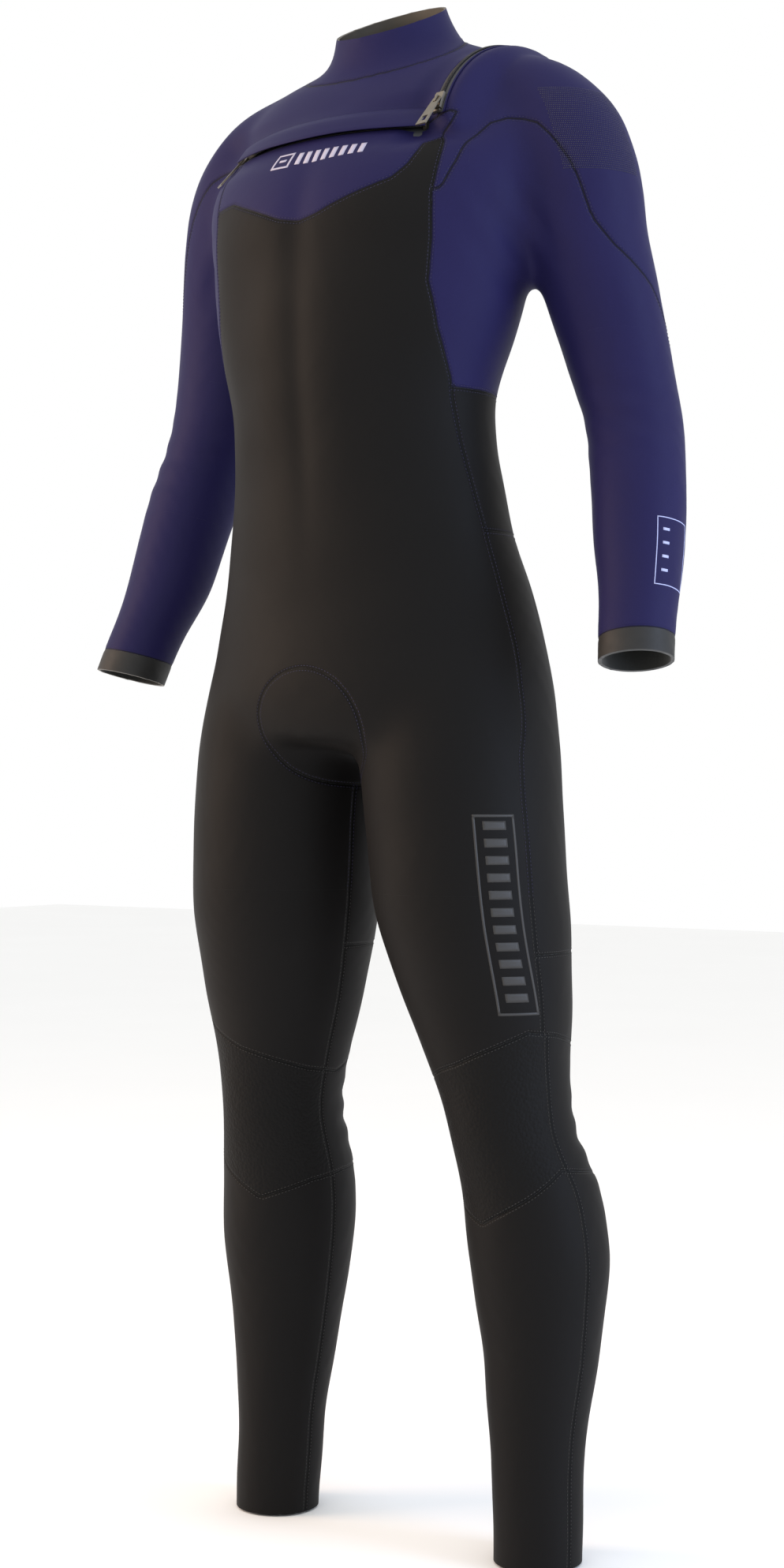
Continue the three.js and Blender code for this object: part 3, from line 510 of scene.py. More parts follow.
def name_panels(M):
    """One panel name for every triangle; an empty name is cut away."""
    left = M["left"] > 0
    side = np.where(left, "_left", "_right")
    out = np.full(len(left), "front_panel", dtype="<U24")

    def put(mask, name, sided=False):
        out[mask] = np.char.add(name, side[mask]) if sided else name

    z = M["height"]
    arm = (M["arm"] > 0) & (z > 790)
    neck = (M["collar"] > 0) & ~arm & (z > 1370)
    trunk = ~arm & ~neck & (z > 760)
    put(trunk & (M["hip"] < 0) & (M["front"] < 0), "seat_panel")
    put(trunk & (M["hip"] > 0) & (M["front"] < 0), "back_panel")
    side_zone = trunk & (M["side_low"] > 0) & (M["front"] < 0) & (M["back"] < 0)
    put(side_zone, "side_panel", True)
    front = trunk & (M["front"] > 0) & (z > 1190)
    put(front & (M["v"] > 0), "chest_band")
    top = (M["depth"] < 20) & np.where(left & (M["front"] < 0), M["raglan"] > 0, M["zip"] > 0)
    top |= (M["depth"] >= 20) & (M["yoke_back"] > 0)
    put(trunk & top & (z > 1240), "yoke")
    put(trunk & top & (z > 1240) & left & (M["across"] > 0), "shoulder_panel")
    low = (z <= 760)
    behind = low & ~((M["front"] > 0) & (M["inner"] > 0) & (M["pad"] > -40))
    put(behind, "seat_panel")
    put(behind & (M["back_thigh"] < 0), "thigh_back", True)
    put(low & ~behind & (M["mid_thigh"] < 0), "thigh_front", True)
    knee = low & (M["knee_top"] < 0)
    put(knee & (M["pad"] > 0), "knee_pad", True)
    put(knee & (M["pad"] < 0), "knee_back", True)
    shin = low & (M["knee_low"] < 0)
    put(shin & (M["pad"] > 0), "shin", True)
    put(shin & (M["pad"] < 0), "calf", True)
    put((M["gusset"] > 0) & ~arm & (z > 700) & (z < 840), "crotch_gusset")
    put(neck, "collar")
    put(arm, "sleeve_top", True)
    turn = M["arm_angle"]
    under = (M["raglan"] < 0) & (turn < 150) & (turn > -160) | (turn > -150) & (turn < -60)
    put(arm & under, "sleeve_under", True)
    put(arm & (M["elbow_top"] < 0), "elbow", True)
    put(arm & (M["elbow_low"] < 0), "forearm", True)
    put(arm & (M["cuff"] < 0), "cuff", True)
    gone = (M["slot"] < 0) & trunk & (M["depth"] < 0) | (M["wrist"] < 0) & arm
    gone |= (M["ankle"] < 0) | (M["rim"] > 0) & neck
    out[gone] = ""
    return out


SKIN_P, SKIN_N, SKIN_T, PLACES = cut_panels(BODY_P, BODY_T)
PANEL = name_panels(PLACES)


# ==== Colours and materials
def linear(code):
    parts = [int(code[i:i + 2], 16) / 255 for i in (1, 3, 5)]
    return tuple(c / 12.92 if c <= 0.04045 else ((c + 0.055) / 1.055) ** 2.4 for c in parts) + (1.0,)


def node(tree, kind, links=(), **values):
    """Adds a node; values are properties or sockets by name, links are (socket, source socket)."""
    made = tree.nodes.new(kind)
    for key, value in values.items():
        if hasattr(made, key):
            setattr(made, key, value)
        else:
            made.inputs[key.replace("_", " ")].default_value = value
    for name, source in links:
        tree.links.new(source, made.inputs[name])
    return made


def new_material(name, colour, roughness, metallic=0.0, sheen=0.0, sheen_tint="#ffffff", specular=0.5):
    material = bpy.data.materials.new(name)
    material.use_nodes = True
    tree = material.node_tree
    shader = tree.nodes["Principled BSDF"]
    shader.inputs["Base Color"].default_value = linear(colour)
    shader.inputs["Roughness"].default_value = roughness
    shader.inputs["Metallic"].default_value = metallic
    shader.inputs["Sheen Weight"].default_value = sheen
    shader.inputs["Sheen Roughness"].default_value = 0.45
    shader.inputs["Sheen Tint"].default_value = linear(sheen_tint)
    shader.inputs["Specular IOR Level"].default_value = specular
    return material, tree, shader


def two_tone(tree, pattern, colour, shade):
    return node(tree, "ShaderNodeMixRGB", [("Fac", pattern.outputs["Fac"])],
                Color1=linear(colour), Color2=linear(shade))


def spread(tree, source, to_min, to_max, from_min=0.0, from_max=1.0, form="LINEAR"):
    """Maps the source's Fac from one range to another."""
    made = node(tree, "ShaderNodeMapRange", [("Value", source.outputs["Fac"])], interpolation_type=form)
    limits = {"From Min": from_min, "From Max": from_max, "To Min": to_min, "To Max": to_max}
    for label, value in limits.items():
        made.inputs[label].default_value = value
    return made


def jersey(name, colour, shade, seam_shade_colour, sheen, emboss=False):
    """Knit jersey glued on foam neoprene: fine ribs, faint clouds, and at each seam a pinched groove with
    painted shade in it.
    """
    material, tree, shader = new_material(name, colour, 0.62, 0.0, *sheen, specular=0.12)
    place = node(tree, "ShaderNodeTexCoord")
    cloud = node(tree, "ShaderNodeTexNoise", [("Vector", place.outputs["Object"])], Scale=9.0, Detail=4.0)
    fuzz = node(tree, "ShaderNodeTexNoise", [("Vector", place.outputs["Object"])], Scale=900.0, Detail=2.0)
    mixed = two_tone(tree, cloud, colour, shade)
    knit = node(tree, "ShaderNodeMixRGB", [("Color1", mixed.outputs["Color"]), ("Fac", fuzz.outputs["Fac"])],
                blend_type="MULTIPLY", Color2=(0.72, 0.72, 0.74, 1))
    seam = node(tree, "ShaderNodeAttribute", attribute_name="seam")
    # Painted shade: within about 1.6 mm of a seam the knit colour is mixed towards the seam shade colour,
    # standing in for shade in the pinched groove.
    seam_shade_mask = spread(tree, seam, 0, 1, 0.0005, 0.0016, "SMOOTHSTEP")
    seam_shade_mix = node(tree, "ShaderNodeMixRGB",
                [("Fac", seam_shade_mask.outputs["Result"]), ("Color2", knit.outputs["Color"])],
                Color1=linear(seam_shade_colour))
    tree.links.new(seam_shade_mix.outputs["Color"], shader.inputs["Base Color"])
    rough = spread(tree, cloud, 0.5, 0.7)
    tree.links.new(rough.outputs["Result"], shader.inputs["Roughness"])
    pinch = spread(tree, seam, 0, 1, 0, 0.004, "SMOOTHSTEP")
    groove = node(tree, "ShaderNodeBump", [("Height", pinch.outputs["Result"])],
                  Strength=0.8, Distance=0.0011)
    ribs = node(tree, "ShaderNodeTexWave", [("Vector", place.outputs["Object"])],
                Scale=420.0, Distortion=1.5, bands_direction="Z")
    weave = node(tree, "ShaderNodeMath", [(0, ribs.outputs["Fac"]), (1, fuzz.outputs["Fac"])])
    fine = node(tree, "ShaderNodeBump",
                [("Height", weave.outputs["Value"]), ("Normal", groove.outputs["Normal"])],
                Strength=0.22, Distance=0.0002)
    last = fine
    if emboss:
        cells = node(tree, "ShaderNodeTexVoronoi", [("Vector", place.outputs["Object"])], Scale=330.0)
        last = node(tree, "ShaderNodeBump",
                    [("Height", cells.outputs["Distance"]), ("Normal", fine.outputs["Normal"])],
                    Strength=0.75, Distance=0.0007, invert=True)
    tree.links.new(last.outputs["Normal"], shader.inputs["Normal"])
    return material


def plain_finish(name, colour, shade, roughness, metallic=0.0, scale=60.0, bump=0.0002, sheen=0.0):
    """A moulded, cast or printed finish with slight unevenness in colour, gloss and surface."""
    material, tree, shader = new_material(name, colour, roughness, metallic, sheen)
    place = node(tree, "ShaderNodeTexCoord")
    noise = node(tree, "ShaderNodeTexNoise", [("Vector", place.outputs["Object"])], Scale=scale, Detail=5.0)
    mixed = two_tone(tree, noise, colour, shade)
    tree.links.new(mixed.outputs["Color"], shader.inputs["Base Color"])
    rough = spread(tree, noise, roughness * 0.8, min(1.0, roughness * 1.25))
    tree.links.new(rough.outputs["Result"], shader.inputs["Roughness"])
    uneven = node(tree, "ShaderNodeBump", [("Height", noise.outputs["Fac"])], Strength=0.4, Distance=bump)
    tree.links.new(uneven.outputs["Normal"], shader.inputs["Normal"])
    return material


# Each jersey's third colour is painted shade for its seam grooves.
NAVY_JERSEY = jersey("navy_stretch_jersey_on_neoprene", "#1c1942", "#211e4a", "#0b0a1c", (0.06, "#6f74b8"))
BLACK_JERSEY = jersey("black_stretch_jersey_on_neoprene", "#0e0d0d", "#121111", "#040404", (0.03, "#8c8480"))
KNEE_PRINT = jersey("embossed_abrasion_print_on_knees", "#0d0d0d", "#111010", "#040404", (0.02, "#808080"),
                    emboss=True)
CUFF_BAND = plain_finish("smooth_rubber_skin_wrist_band", "#060606", "#0a0a09", 0.6)
LINING = plain_finish("brushed_jersey_lining", "#141615", "#20221f", 0.85, scale=500.0, sheen=0.3)
COLLAR_LINING = plain_finish("smooth_skin_collar_lining", "#2c302d", "#6d6358", 0.6, scale=14.0)
TAPE = plain_finish("woven_polyester_zip_tape", "#2b2d31", "#3c3f44", 0.75, scale=700.0)
TEETH = plain_finish("moulded_acetal_zip_teeth", "#17181a", "#24262a", 0.35)
METAL = plain_finish("die_cast_zinc_with_gunmetal_plating", "#6a655c", "#8d8474", 0.34,
                     metallic=0.85, scale=120.0)
THREAD = plain_finish("polyester_stitch_thread", "#211f3c", "#2c2a4c", 0.7, scale=900.0)
DARK_THREAD = plain_finish("black_polyester_stitch_thread", "#30302f", "#3a3938", 0.7, scale=900.0)
PALE_PRINT = plain_finish("screen_printed_pale_ink", "#a8a3b8", "#b2adc0", 0.55, scale=300.0)
GREY_PRINT = plain_finish("screen_printed_grey_ink", "#262626", "#2c2b2b", 0.5, scale=300.0)
BLUE_PRINT = plain_finish("screen_printed_light_blue_ink", "#9ea4d0", "#b4b9de", 0.55, scale=300.0)
DOT_PRINT = plain_finish("raised_silicone_dots", "#17162c", "#201f3a", 0.4)


# ==== Panels: each is a closed sheet of neoprene cut from the skin
QUIET = {frozenset(p) for p in (
    ("sleeve_top", "elbow"), ("sleeve_under", "elbow"), ("elbow", "forearm"), ("yoke", "sleeve_top"),
    ("shoulder_panel", "sleeve_top"), ("side_panel", "sleeve_under"), ("front_panel", "thigh_front"),
    ("chest_band", "sleeve_under"), ("yoke", "sleeve_under"), ("shoulder_panel", "sleeve_under"),
    ("back_panel", "sleeve_top"), ("back_panel", "sleeve_under"), ("side_panel", "sleeve_top"))}


def plain(name):
    return name.removesuffix("_left").removesuffix("_right")


def edges_of(T):
    e = np.vstack([T[:, [0, 1]], T[:, [1, 2]], T[:, [2, 0]]])
    low = np.sort(e, axis=1)
    uniq, inv, count = np.unique(low, axis=0, return_inverse=True, return_counts=True)
    return e, uniq, inv.ravel(), count


def seam_edges():
    """Pairs of points along every stitched seam, with the names of the two panels that meet there."""
    keep = PANEL != ""
    T, names = SKIN_T[keep], PANEL[keep]
    _, uniq, inv, count = edges_of(T)
    owner = np.tile(np.arange(len(T)), 3)
    order = np.argsort(inv, kind="stable")
    starts = np.searchsorted(inv[order], np.arange(len(uniq)))
    found = {}
    for k in np.nonzero(count == 2)[0]:
        a, b = owner[order[starts[k]]], owner[order[starts[k] + 1]]
        if names[a] != names[b] and frozenset((plain(names[a]), plain(names[b]))) not in QUIET:
            found.setdefault(frozenset((names[a], names[b])), []).append(tuple(uniq[k]))
    return found


SEAMS = seam_edges()


def seam_distance(P):
    ends = np.array([e for edges in SEAMS.values() for e in edges])
    a, b = SKIN_P[ends[:, 0]], SKIN_P[ends[:, 1]]
    dots = np.vstack([a + (b - a) * s for s in (0, 0.25, 0.5, 0.75, 1)])
    tree = KDTree(len(dots))
    for i, p in enumerate(dots):
        tree.insert(p, i)
    tree.balance()
    return np.array([min(tree.find(p)[2], FAR) for p in P])


SEAM_MM = seam_distance(SKIN_P)
TO_ROW = np.array([0, 0, HANGER_Z])


def mesh_object(name, P, faces, materials, face_material=None, smooth=True):
    """An object whose mesh is P, in mm above the ankle ends."""
    mesh = bpy.data.meshes.new(name)
    mesh.from_pydata(((P - TO_ROW) / 1000).tolist(), [], faces)
    for material in materials:
        mesh.materials.append(material)
    if face_material is not None:
        mesh.polygons.foreach_set("material_index", face_material)
    mesh.polygons.foreach_set("use_smooth", [smooth] * len(mesh.polygons))
    mesh.update()
    obj = add_object(name, mesh)
    return obj


def mark_seam(obj, distances):
    """Stores each point's distance in mm from the nearest seam, for the jersey's seam groove and its painted
    shade.
    """
    mark = obj.data.attributes.new("seam", "FLOAT", "POINT")
    mark.data.foreach_set("value", distances / 1000)


def panel(name, thick, outside, lining):
    """Outer face from the skin, inner face one thickness under it, and a cut edge all round."""
    T = SKIN_T[PANEL == name]
    used, T = np.unique(T, return_inverse=True)
    T = T.reshape(-1, 3)
    P, N, seam = SKIN_P[used], SKIN_N[used], SEAM_MM[used]
    e, _, inv, count = edges_of(T)
    rim = e[count[inv] == 1]
    on_rim = np.unique(rim)
    inwards = np.zeros_like(P)
    for k in range(3):
        inwards[:, k] = np.bincount(e[:, 0], P[e[:, 1], k] - P[e[:, 0], k], len(P))
    inwards -= N * (inwards * N).sum(1)[:, None]
    inwards /= np.maximum(np.linalg.norm(inwards, axis=1), 1e-6)[:, None]
    P = P.copy()
    P[on_rim] += inwards[on_rim] * np.where(seam[on_rim] < 0.5, SEAM_GAP, QUIET_GAP)[:, None]
    top = P - N * (SEAM_DEPTH * (1 - ease(seam, 0, SEAM_WIDTH)))[:, None]
    n = len(P)
    both = np.vstack([top, P - N * thick])
    faces = np.vstack([T, T[:, ::-1] + n])
    a, b = rim.T
    side = np.vstack([np.c_[b, a, a + n], np.c_[b, a + n, b + n]])
    index = np.r_[np.zeros(len(T), int), np.ones(len(T) + len(side), int)]
    obj = mesh_object(name + "_fabric", both, np.vstack([faces, side]).tolist(), [outside, lining], index)
    mark_seam(obj, np.r_[seam, np.full(n, FAR)])
    corner = np.vstack([N, -N])
    loops = np.vstack([faces, side]).ravel()
    normal = corner[loops]
    wall = np.repeat(np.arange(len(faces) + len(side)) >= len(faces), 3)
    flat = np.cross(both[side[:, 1]] - both[side[:, 0]], both[side[:, 2]] - both[side[:, 0]])
    flat /= np.maximum(np.linalg.norm(flat, axis=1), 1e-9)[:, None]
    normal[wall] = np.repeat(flat, 3, axis=0)
    obj.data.normals_split_custom_set(normal.tolist())
    a, b, c = P[T[:, 0]], P[T[:, 1]], P[T[:, 2]]
    reach = np.linalg.norm(np.ptp(P, axis=0)) / 1000
    return obj


KNEE = {s: ((x * 0.126, -0.012, -0.9), (x * 0.148, 0.028, -1.1)) for s, x in (("left", 1), ("right", -1))}
ELBOW_BEND = {s: ((x * 0.229, 0.03, -0.27), (x * 0.27, 0.004, -0.43))
              for s, x in (("left", 1), ("right", -1))}


def carry(obj, kind, side):
    """Leg and arm pieces have their placement baked into the mesh; the rest rides on the suit or on the limb.
    """
    if kind == "leg":
        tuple(KNEE[side][0])
        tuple(KNEE[side][1])
        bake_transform(obj)
    elif kind == "arm":
        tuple(ELBOW_BEND[side][0])
        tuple(ELBOW_BEND[side][1])
        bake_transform(obj)
    else:
        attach(obj, kind)


LEG_PIECES = ("thigh_front", "thigh_back", "knee_pad", "knee_back", "shin", "calf")
ARM_PIECES = ("sleeve_top", "sleeve_under", "elbow", "forearm")
STANDS_FOR = {"thigh_front": ["front_panel"], "shoulder_panel": ["yoke", "shoulder_bed"]}


def make_panels():
    for name in [k for k in np.unique(PANEL) if k]:
        kind, side = plain(name), name.rsplit("_", 1)[-1]
        thick, face, back, finish = T_BODY, BLACK_JERSEY, LINING, "black_knit"
        if kind in ("collar", "yoke", "chest_band", "side_panel", "shoulder_panel", *ARM_PIECES):
            face, finish = NAVY_JERSEY, "navy_knit"
        if kind in LEG_PIECES + ARM_PIECES + ("cuff",):
            thick = T_LIMB
        if kind == "knee_pad":
            face, finish = KNEE_PRINT, "knee_knit"
        if kind == "cuff":
            face = CUFF_BAND
        if kind == "collar":
            thick, back = T_NECK, COLLAR_LINING
        piece = panel(name, thick, face, back)
        carry(piece, "leg" if kind in LEG_PIECES else "arm" if kind in ARM_PIECES
              else f"forearm_{side}" if kind == "cuff" else "suit", side)
        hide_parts(*STANDS_FOR.get(kind, [name]))


make_panels()


# ==== Stitches, zip teeth and printed dots: Geometry Nodes along paths
def repeat_tree(name, material, along_path):
    """A small rounded bar at every step of a path, or on every point, laid flat on the surface."""
    tree = bpy.data.node_groups.new(name, "GeometryNodeTree")
    face = tree.interface
    face.new_socket("Geometry", in_out="INPUT", socket_type="NodeSocketGeometry")
    for label, value in (("Spacing", 0.003), ("Length", 0.0022), ("Width", 0.0007), ("Height", 0.0004)):
        face.new_socket(label, in_out="INPUT", socket_type="NodeSocketFloat").default_value = value
    face.new_socket("Geometry", in_out="OUTPUT", socket_type="NodeSocketGeometry")
    given = node(tree, "NodeGroupInput")
    points = given.outputs["Geometry"]
    up = node(tree, "GeometryNodeInputNamedAttribute", data_type="FLOAT_VECTOR", Name="up")
    run = node(tree, "GeometryNodeInputNamedAttribute", data_type="FLOAT_VECTOR", Name="run")
    if along_path:
        curve_of = node(tree, "GeometryNodeMeshToCurve", [("Mesh", points)])
        even = node(tree, "GeometryNodeResampleCurve",
                    [("Curve", curve_of.outputs["Curve"]), ("Length", given.outputs["Spacing"])],
                    mode="LENGTH")
        points = even.outputs["Curve"]
    size = node(tree, "ShaderNodeCombineXYZ", [("X", given.outputs["Length"]), ("Y", given.outputs["Width"]),
                                                ("Z", given.outputs["Height"])])
    bead = node(tree, "GeometryNodeMeshIcoSphere", Radius=0.5, Subdivisions=1)
    first = node(tree, "FunctionNodeAlignRotationToVector", [("Vector", up.outputs["Attribute"])], axis="Z")
    turn = node(tree, "FunctionNodeAlignRotationToVector",
                [("Rotation", first.outputs["Rotation"]), ("Vector", run.outputs["Attribute"])],
                axis="X", pivot_axis="Z")
    placed = node(tree, "GeometryNodeInstanceOnPoints",
                  [("Points", points), ("Instance", bead.outputs["Mesh"]),
                   ("Rotation", turn.outputs["Rotation"]), ("Scale", size.outputs["Vector"])])
    real = node(tree, "GeometryNodeRealizeInstances", [("Geometry", placed.outputs["Instances"])])
    dressed = node(tree, "GeometryNodeSetMaterial", [("Geometry", real.outputs["Geometry"])],
                   Material=material)
    node(tree, "NodeGroupOutput", [("Geometry", dressed.outputs["Geometry"])])
    return tree


def repeat_along(name, paths, tree, sizes):
    """paths are lists of (points, normals) in mm; returns one plain mesh object."""
    P = np.vstack([p for p, _ in paths])
    U = np.vstack([u for _, u in paths])
    R = np.vstack([np.gradient(p, axis=0) if len(p) > 1 else np.array([[1.0, 0, 0]]) for p, _ in paths])
    edges, start = [], 0
    for p, _ in paths:
        edges += [(start + i, start + i + 1) for i in range(len(p) - 1)]
        start += len(p)
    mesh = bpy.data.meshes.new(name)
    mesh.from_pydata(((P - TO_ROW) / 1000).tolist(), edges, [])
    for label, values in (("up", U), ("run", R)):
        mark = mesh.attributes.new(label, "FLOAT_VECTOR", "POINT")
        mark.data.foreach_set("vector", values.astype(np.float32).ravel())
    source = add_object(name + "_path", mesh)
    modifier = source.modifiers.new("repeat", "NODES")
    modifier.node_group = tree
    for item in tree.interface.items_tree:
        if item.item_type == "SOCKET" and item.in_out == "INPUT" and item.name in sizes:
            modifier[item.identifier] = sizes[item.name]
    done = bpy.data.meshes.new_from_object(source.evaluated_get(bpy.context.evaluated_depsgraph_get()))
    bpy.data.objects.remove(source)
    done.name = name
    done.polygons.foreach_set("use_smooth", [True] * len(done.polygons))
    obj = add_object(name, done)
    return obj


def chains(edges):
    """Joins loose edges into runs of points."""
    links = {}
    for a, b in edges:
        links.setdefault(a, []).append(b)
        links.setdefault(b, []).append(a)
    runs, seen = [], set()
    for start in sorted(links, key=lambda k: (len(links[k]) == 2, k)):
        for first in links[start]:
            if (start, first) in seen:
                continue
            run, prev, here = [start], start, first
            seen.update(((start, first), (first, start)))
            while True:
                run.append(here)
                ahead = [k for k in links[here] if (here, k) not in seen]
                if len(links[here]) != 2 or not ahead:
                    break
                prev, here = here, ahead[0]
                seen.update(((prev, here), (here, prev)))
            if len(run) > 4:
                runs.append(run)
    return runs


SKIN_TREE = BVHTree.FromPolygons(SKIN_P.tolist(), SKIN_T.tolist())


def on_skin(P, lift):
    """Moves points onto the skin, lifted off it, and gives the skin's normals there."""
    out, normal = np.empty_like(P), np.empty_like(P)
    for i, p in enumerate(P):
        spot, _, face, _ = SKIN_TREE.find_nearest(p)
        n = SKIN_N[SKIN_T[face]].mean(0)
        n /= np.linalg.norm(n)
        out[i], normal[i] = np.array(spot) + n * lift, n
    return out, normal


def stitch_rows():
    rows = {"suit": [], "arm_left": [], "arm_right": [], "leg_left": [], "leg_right": []}
    for pair, edges in SEAMS.items():
        kinds = {plain(k) for k in pair}
        side = "left" if any(k.endswith("_left") for k in pair) else "right"
        group = "suit"
        if kinds & set(LEG_PIECES):
            group = "leg_" + side
        elif kinds & set(ARM_PIECES):
            group = "arm_" + side
        if "cuff" in kinds:
            continue
        for run in chains(edges):
            P, N = SKIN_P[run], SKIN_N[run]
            along = np.gradient(P, axis=0)
            for _ in range(3):
                along[1:-1] = (along[:-2] + along[1:-1] + along[2:]) / 3
            across = np.cross(N, along)
            across /= np.maximum(np.linalg.norm(across, axis=1), 1e-6)[:, None]
            for way in (STITCH_OFF, -STITCH_OFF):
                rows[group].append(on_skin(P + across * way, 0.02))
    return rows


STITCH = repeat_tree("stitch_row", THREAD, True)
DARK_STITCH = repeat_tree("dark_stitch_row", DARK_THREAD, True)


def make_stitches():
    for group, paths in stitch_rows().items():
        tree = DARK_STITCH if group.startswith("leg") else STITCH
        obj = repeat_along("stitches_" + group, paths, tree,
                           {"Spacing": 0.0034, "Length": 0.0021, "Width": 0.0006, "Height": 0.0004})
        carry(obj, group.split("_")[0] if group != "suit" else "suit", group.rsplit("_", 1)[-1])


make_stitches()


# ==== Zips: tapes, teeth and the covering flap
def cone_point(up, off, deg):
    c, slope = CHEST_ZIP, math.radians(CHEST_ZIP["slope"])
    r = c["r"] - up * math.sin(slope) + off * math.cos(slope)
    z = c["z"] + up * math.cos(slope) + off * math.sin(slope)
    return [c["x"] + r * math.sin(math.radians(deg)), c["y"] - r * math.cos(math.radians(deg)), z]


def arc_point(across, off, deg):
    c, yaw = SHOULDER_ZIP, math.radians(SHOULDER_ZIP["yaw"])
    back = (c["r"] + off) * math.sin(math.radians(deg))
    rise = (c["r"] + off) * math.cos(math.radians(deg))
    return [c["x"] + across * math.cos(yaw) + back * math.sin(yaw),
            c["y"] + back * math.cos(yaw) - across * math.sin(yaw), c["z"] + rise]


def faces_out(obj):
    bm = bmesh.new()
    bm.from_mesh(obj.data)
    bmesh.ops.recalc_face_normals(bm, faces=bm.faces)
    bm.to_mesh(obj.data)
    bm.free()


def sweep(name, point, profile, start, end, steps, materials, wave=None):
    """A closed strip whose profile of (across, off) points runs along a zip."""
    n, P, faces = len(profile), [], []
    for i, deg in enumerate(np.linspace(start, end, steps)):
        P += [point(a + (wave(deg, a) if wave else 0), h, deg) for a, h in profile]
    for i in range(steps - 1):
        for j in range(n):
            k = (j + 1) % n
            faces.append((i * n + j, i * n + k, (i + 1) * n + k, (i + 1) * n + j))
    faces += [tuple(reversed(range(n))), tuple(range((steps - 1) * n, steps * n))]
    obj = mesh_object(name + "_strip", np.array(P), faces, materials)
    faces_out(obj)
    return obj


def slab(a0, a1, h0, h1, rows=3):
    """A thin profile with extra points across, so it can bend and shade smoothly."""
    a = np.linspace(a0, a1, rows)
    return [(v, h0) for v in a] + [(v, h1) for v in a[::-1]]


def dress(obj, slot, *stands):
    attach(obj, "suit")
    if stands:
        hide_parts(*stands)


def sheet_strip(obj, slot, stands):
    dress(obj, slot, *stands)


TOOTH = repeat_tree("zip_tooth_row", TEETH, False)


def zip_teeth(name, point, off, spots, coil):
    """Coil loops side by side across the zip: one bar for each, on every step."""
    path = np.array([point(0, off, d) for d in spots])
    up = np.array([point(0, off + 4, d) for d in spots]) - path
    up /= np.linalg.norm(up, axis=1)[:, None]
    along = np.gradient(path, axis=0)
    across = np.cross(up, along / np.linalg.norm(along, axis=1)[:, None])
    run = np.r_[0, np.cumsum(np.linalg.norm(np.diff(path, axis=0), axis=1))]
    steps = np.arange(0.4, run[-1], COIL_PITCH)
    path, up, across = [np.stack([np.interp(steps, run, v[:, i]) for i in range(3)], 1)
                        for v in (path, up, across)]
    bars = [(np.array([c - a * 0.001, c + a * 0.001]), np.array([u, u]))
            for c, u, a in zip(path, up, across)]
    teeth = repeat_along(name, bars, TOOTH, {"Length": 0.0058, "Width": 0.00115, "Height": 0.0021})
    dress(teeth, "zip_coil", coil)


def make_zips():
    c = CHEST_ZIP
    for name, a0, a1 in (("chest_tape_upper", 0.3, 13.0), ("chest_tape_lower", -13.0, -0.3)):
        tape = sweep(name, cone_point, slab(a0, a1, -5.3, -4.35), c["start"] - 2, c["end"] + 1, 60, [TAPE])
        sheet_strip(tape, "zip_tape", [name])
    zip_teeth("chest_teeth", cone_point, -2.9, np.linspace(c["start"] - 1, c["end"], 200), "chest_coil")
    flap_profile = [(-8.8, 4.5), (-8.4, 4.25), (-2, 4.2), (4, 4.2), (9.0, 4.2), (9.6, 0.35), (20.6, 0.35),
                    (20.8, 0.9), (17, 2.4), (12, 4.6), (8, 5.7), (2, 5.75), (-4, 5.6), (-8.4, 5.5),
                    (-8.9, 5.1)]
    flap = sweep("chest_flap", cone_point, flap_profile, -31.9, 28.4, 90, [NAVY_JERSEY],
                 wave=lambda deg, a: 0.5 * math.sin(deg / 5.0) * (a < 0))
    mark_seam(flap, np.full(len(flap.data.vertices), FAR))
    sheet_strip(flap, "navy_knit", ["chest_flap"])
    s = SHOULDER_ZIP
    tape = sweep("shoulder_tape", arc_point, slab(-6.2, 6.2, 0.35, 1.3, 5),
                 s["start"] - 2, s["end"] + 2, 60, [TAPE])
    sheet_strip(tape, "zip_tape", ["shoulder_tape"])
    for name, a in (("piping_neck_side", -6.9), ("piping_arm_side", 6.9)):
        turns = np.linspace(0, 2 * math.pi, 9)[:-1]
        round_edge = [(a + math.cos(t), 0.75 + math.sin(t)) for t in turns]
        piping = sweep(name, arc_point, round_edge, s["start"] - 2.2, s["end"] + 2.2, 60, [NAVY_JERSEY])
        mark_seam(piping, np.full(len(piping.data.vertices), FAR))
        dress(piping, "navy_knit")
    spots = np.linspace(s["start"] - 1, s["end"] + 1, 160)
    zip_teeth("shoulder_teeth", arc_point, 2.4, spots, "shoulder_coil")


make_zips()


# ==== Generic printed marks: thin ink films that follow the skin
def film(name, outlines, place, ink, kind, side):
    """outlines are rectangles (u0, v0, u1, v1) in mm; place turns (u, v) into a point near the skin."""
    P, faces = [], []
    for u0, v0, u1, v1 in outlines:
        nu, nv = max(2, int(abs(u1 - u0) / 3) + 2), max(2, int(abs(v1 - v0) / 3) + 2)
        grid = np.array([place(u, v) for v in np.linspace(v0, v1, nv) for u in np.linspace(u0, u1, nu)])
        low, normal = on_skin(grid, 0.03)
        s, m = len(P), nu * nv
        P += list(low + normal * INK) + list(low - normal * 0.4)
        at_grid = lambda i, j: s + j * nu + i
        for j in range(nv - 1):
            for i in range(nu - 1):
                q = (at_grid(i, j), at_grid(i + 1, j), at_grid(i + 1, j + 1), at_grid(i, j + 1))
                faces += [q, tuple(k + m for k in reversed(q))]
        ring = [at_grid(i, 0) for i in range(nu)] + [at_grid(nu - 1, j) for j in range(1, nv)]
        ring += [at_grid(i, nv - 1) for i in range(nu - 2, -1, -1)]
        ring += [at_grid(0, j) for j in range(nv - 2, 0, -1)]
        faces += [(b, a, a + m, b + m) for a, b in zip(ring, ring[1:] + ring[:1])]
    obj = mesh_object(name, np.array(P), faces, [ink])
    faces_out(obj)
    carry(obj, kind, side)
    return obj


def frame_bars(w, h, t):
    return [(0, 0, w, t), (0, h - t, w, h), (0, t, t, h - t), (w - t, t, w, h - t)]


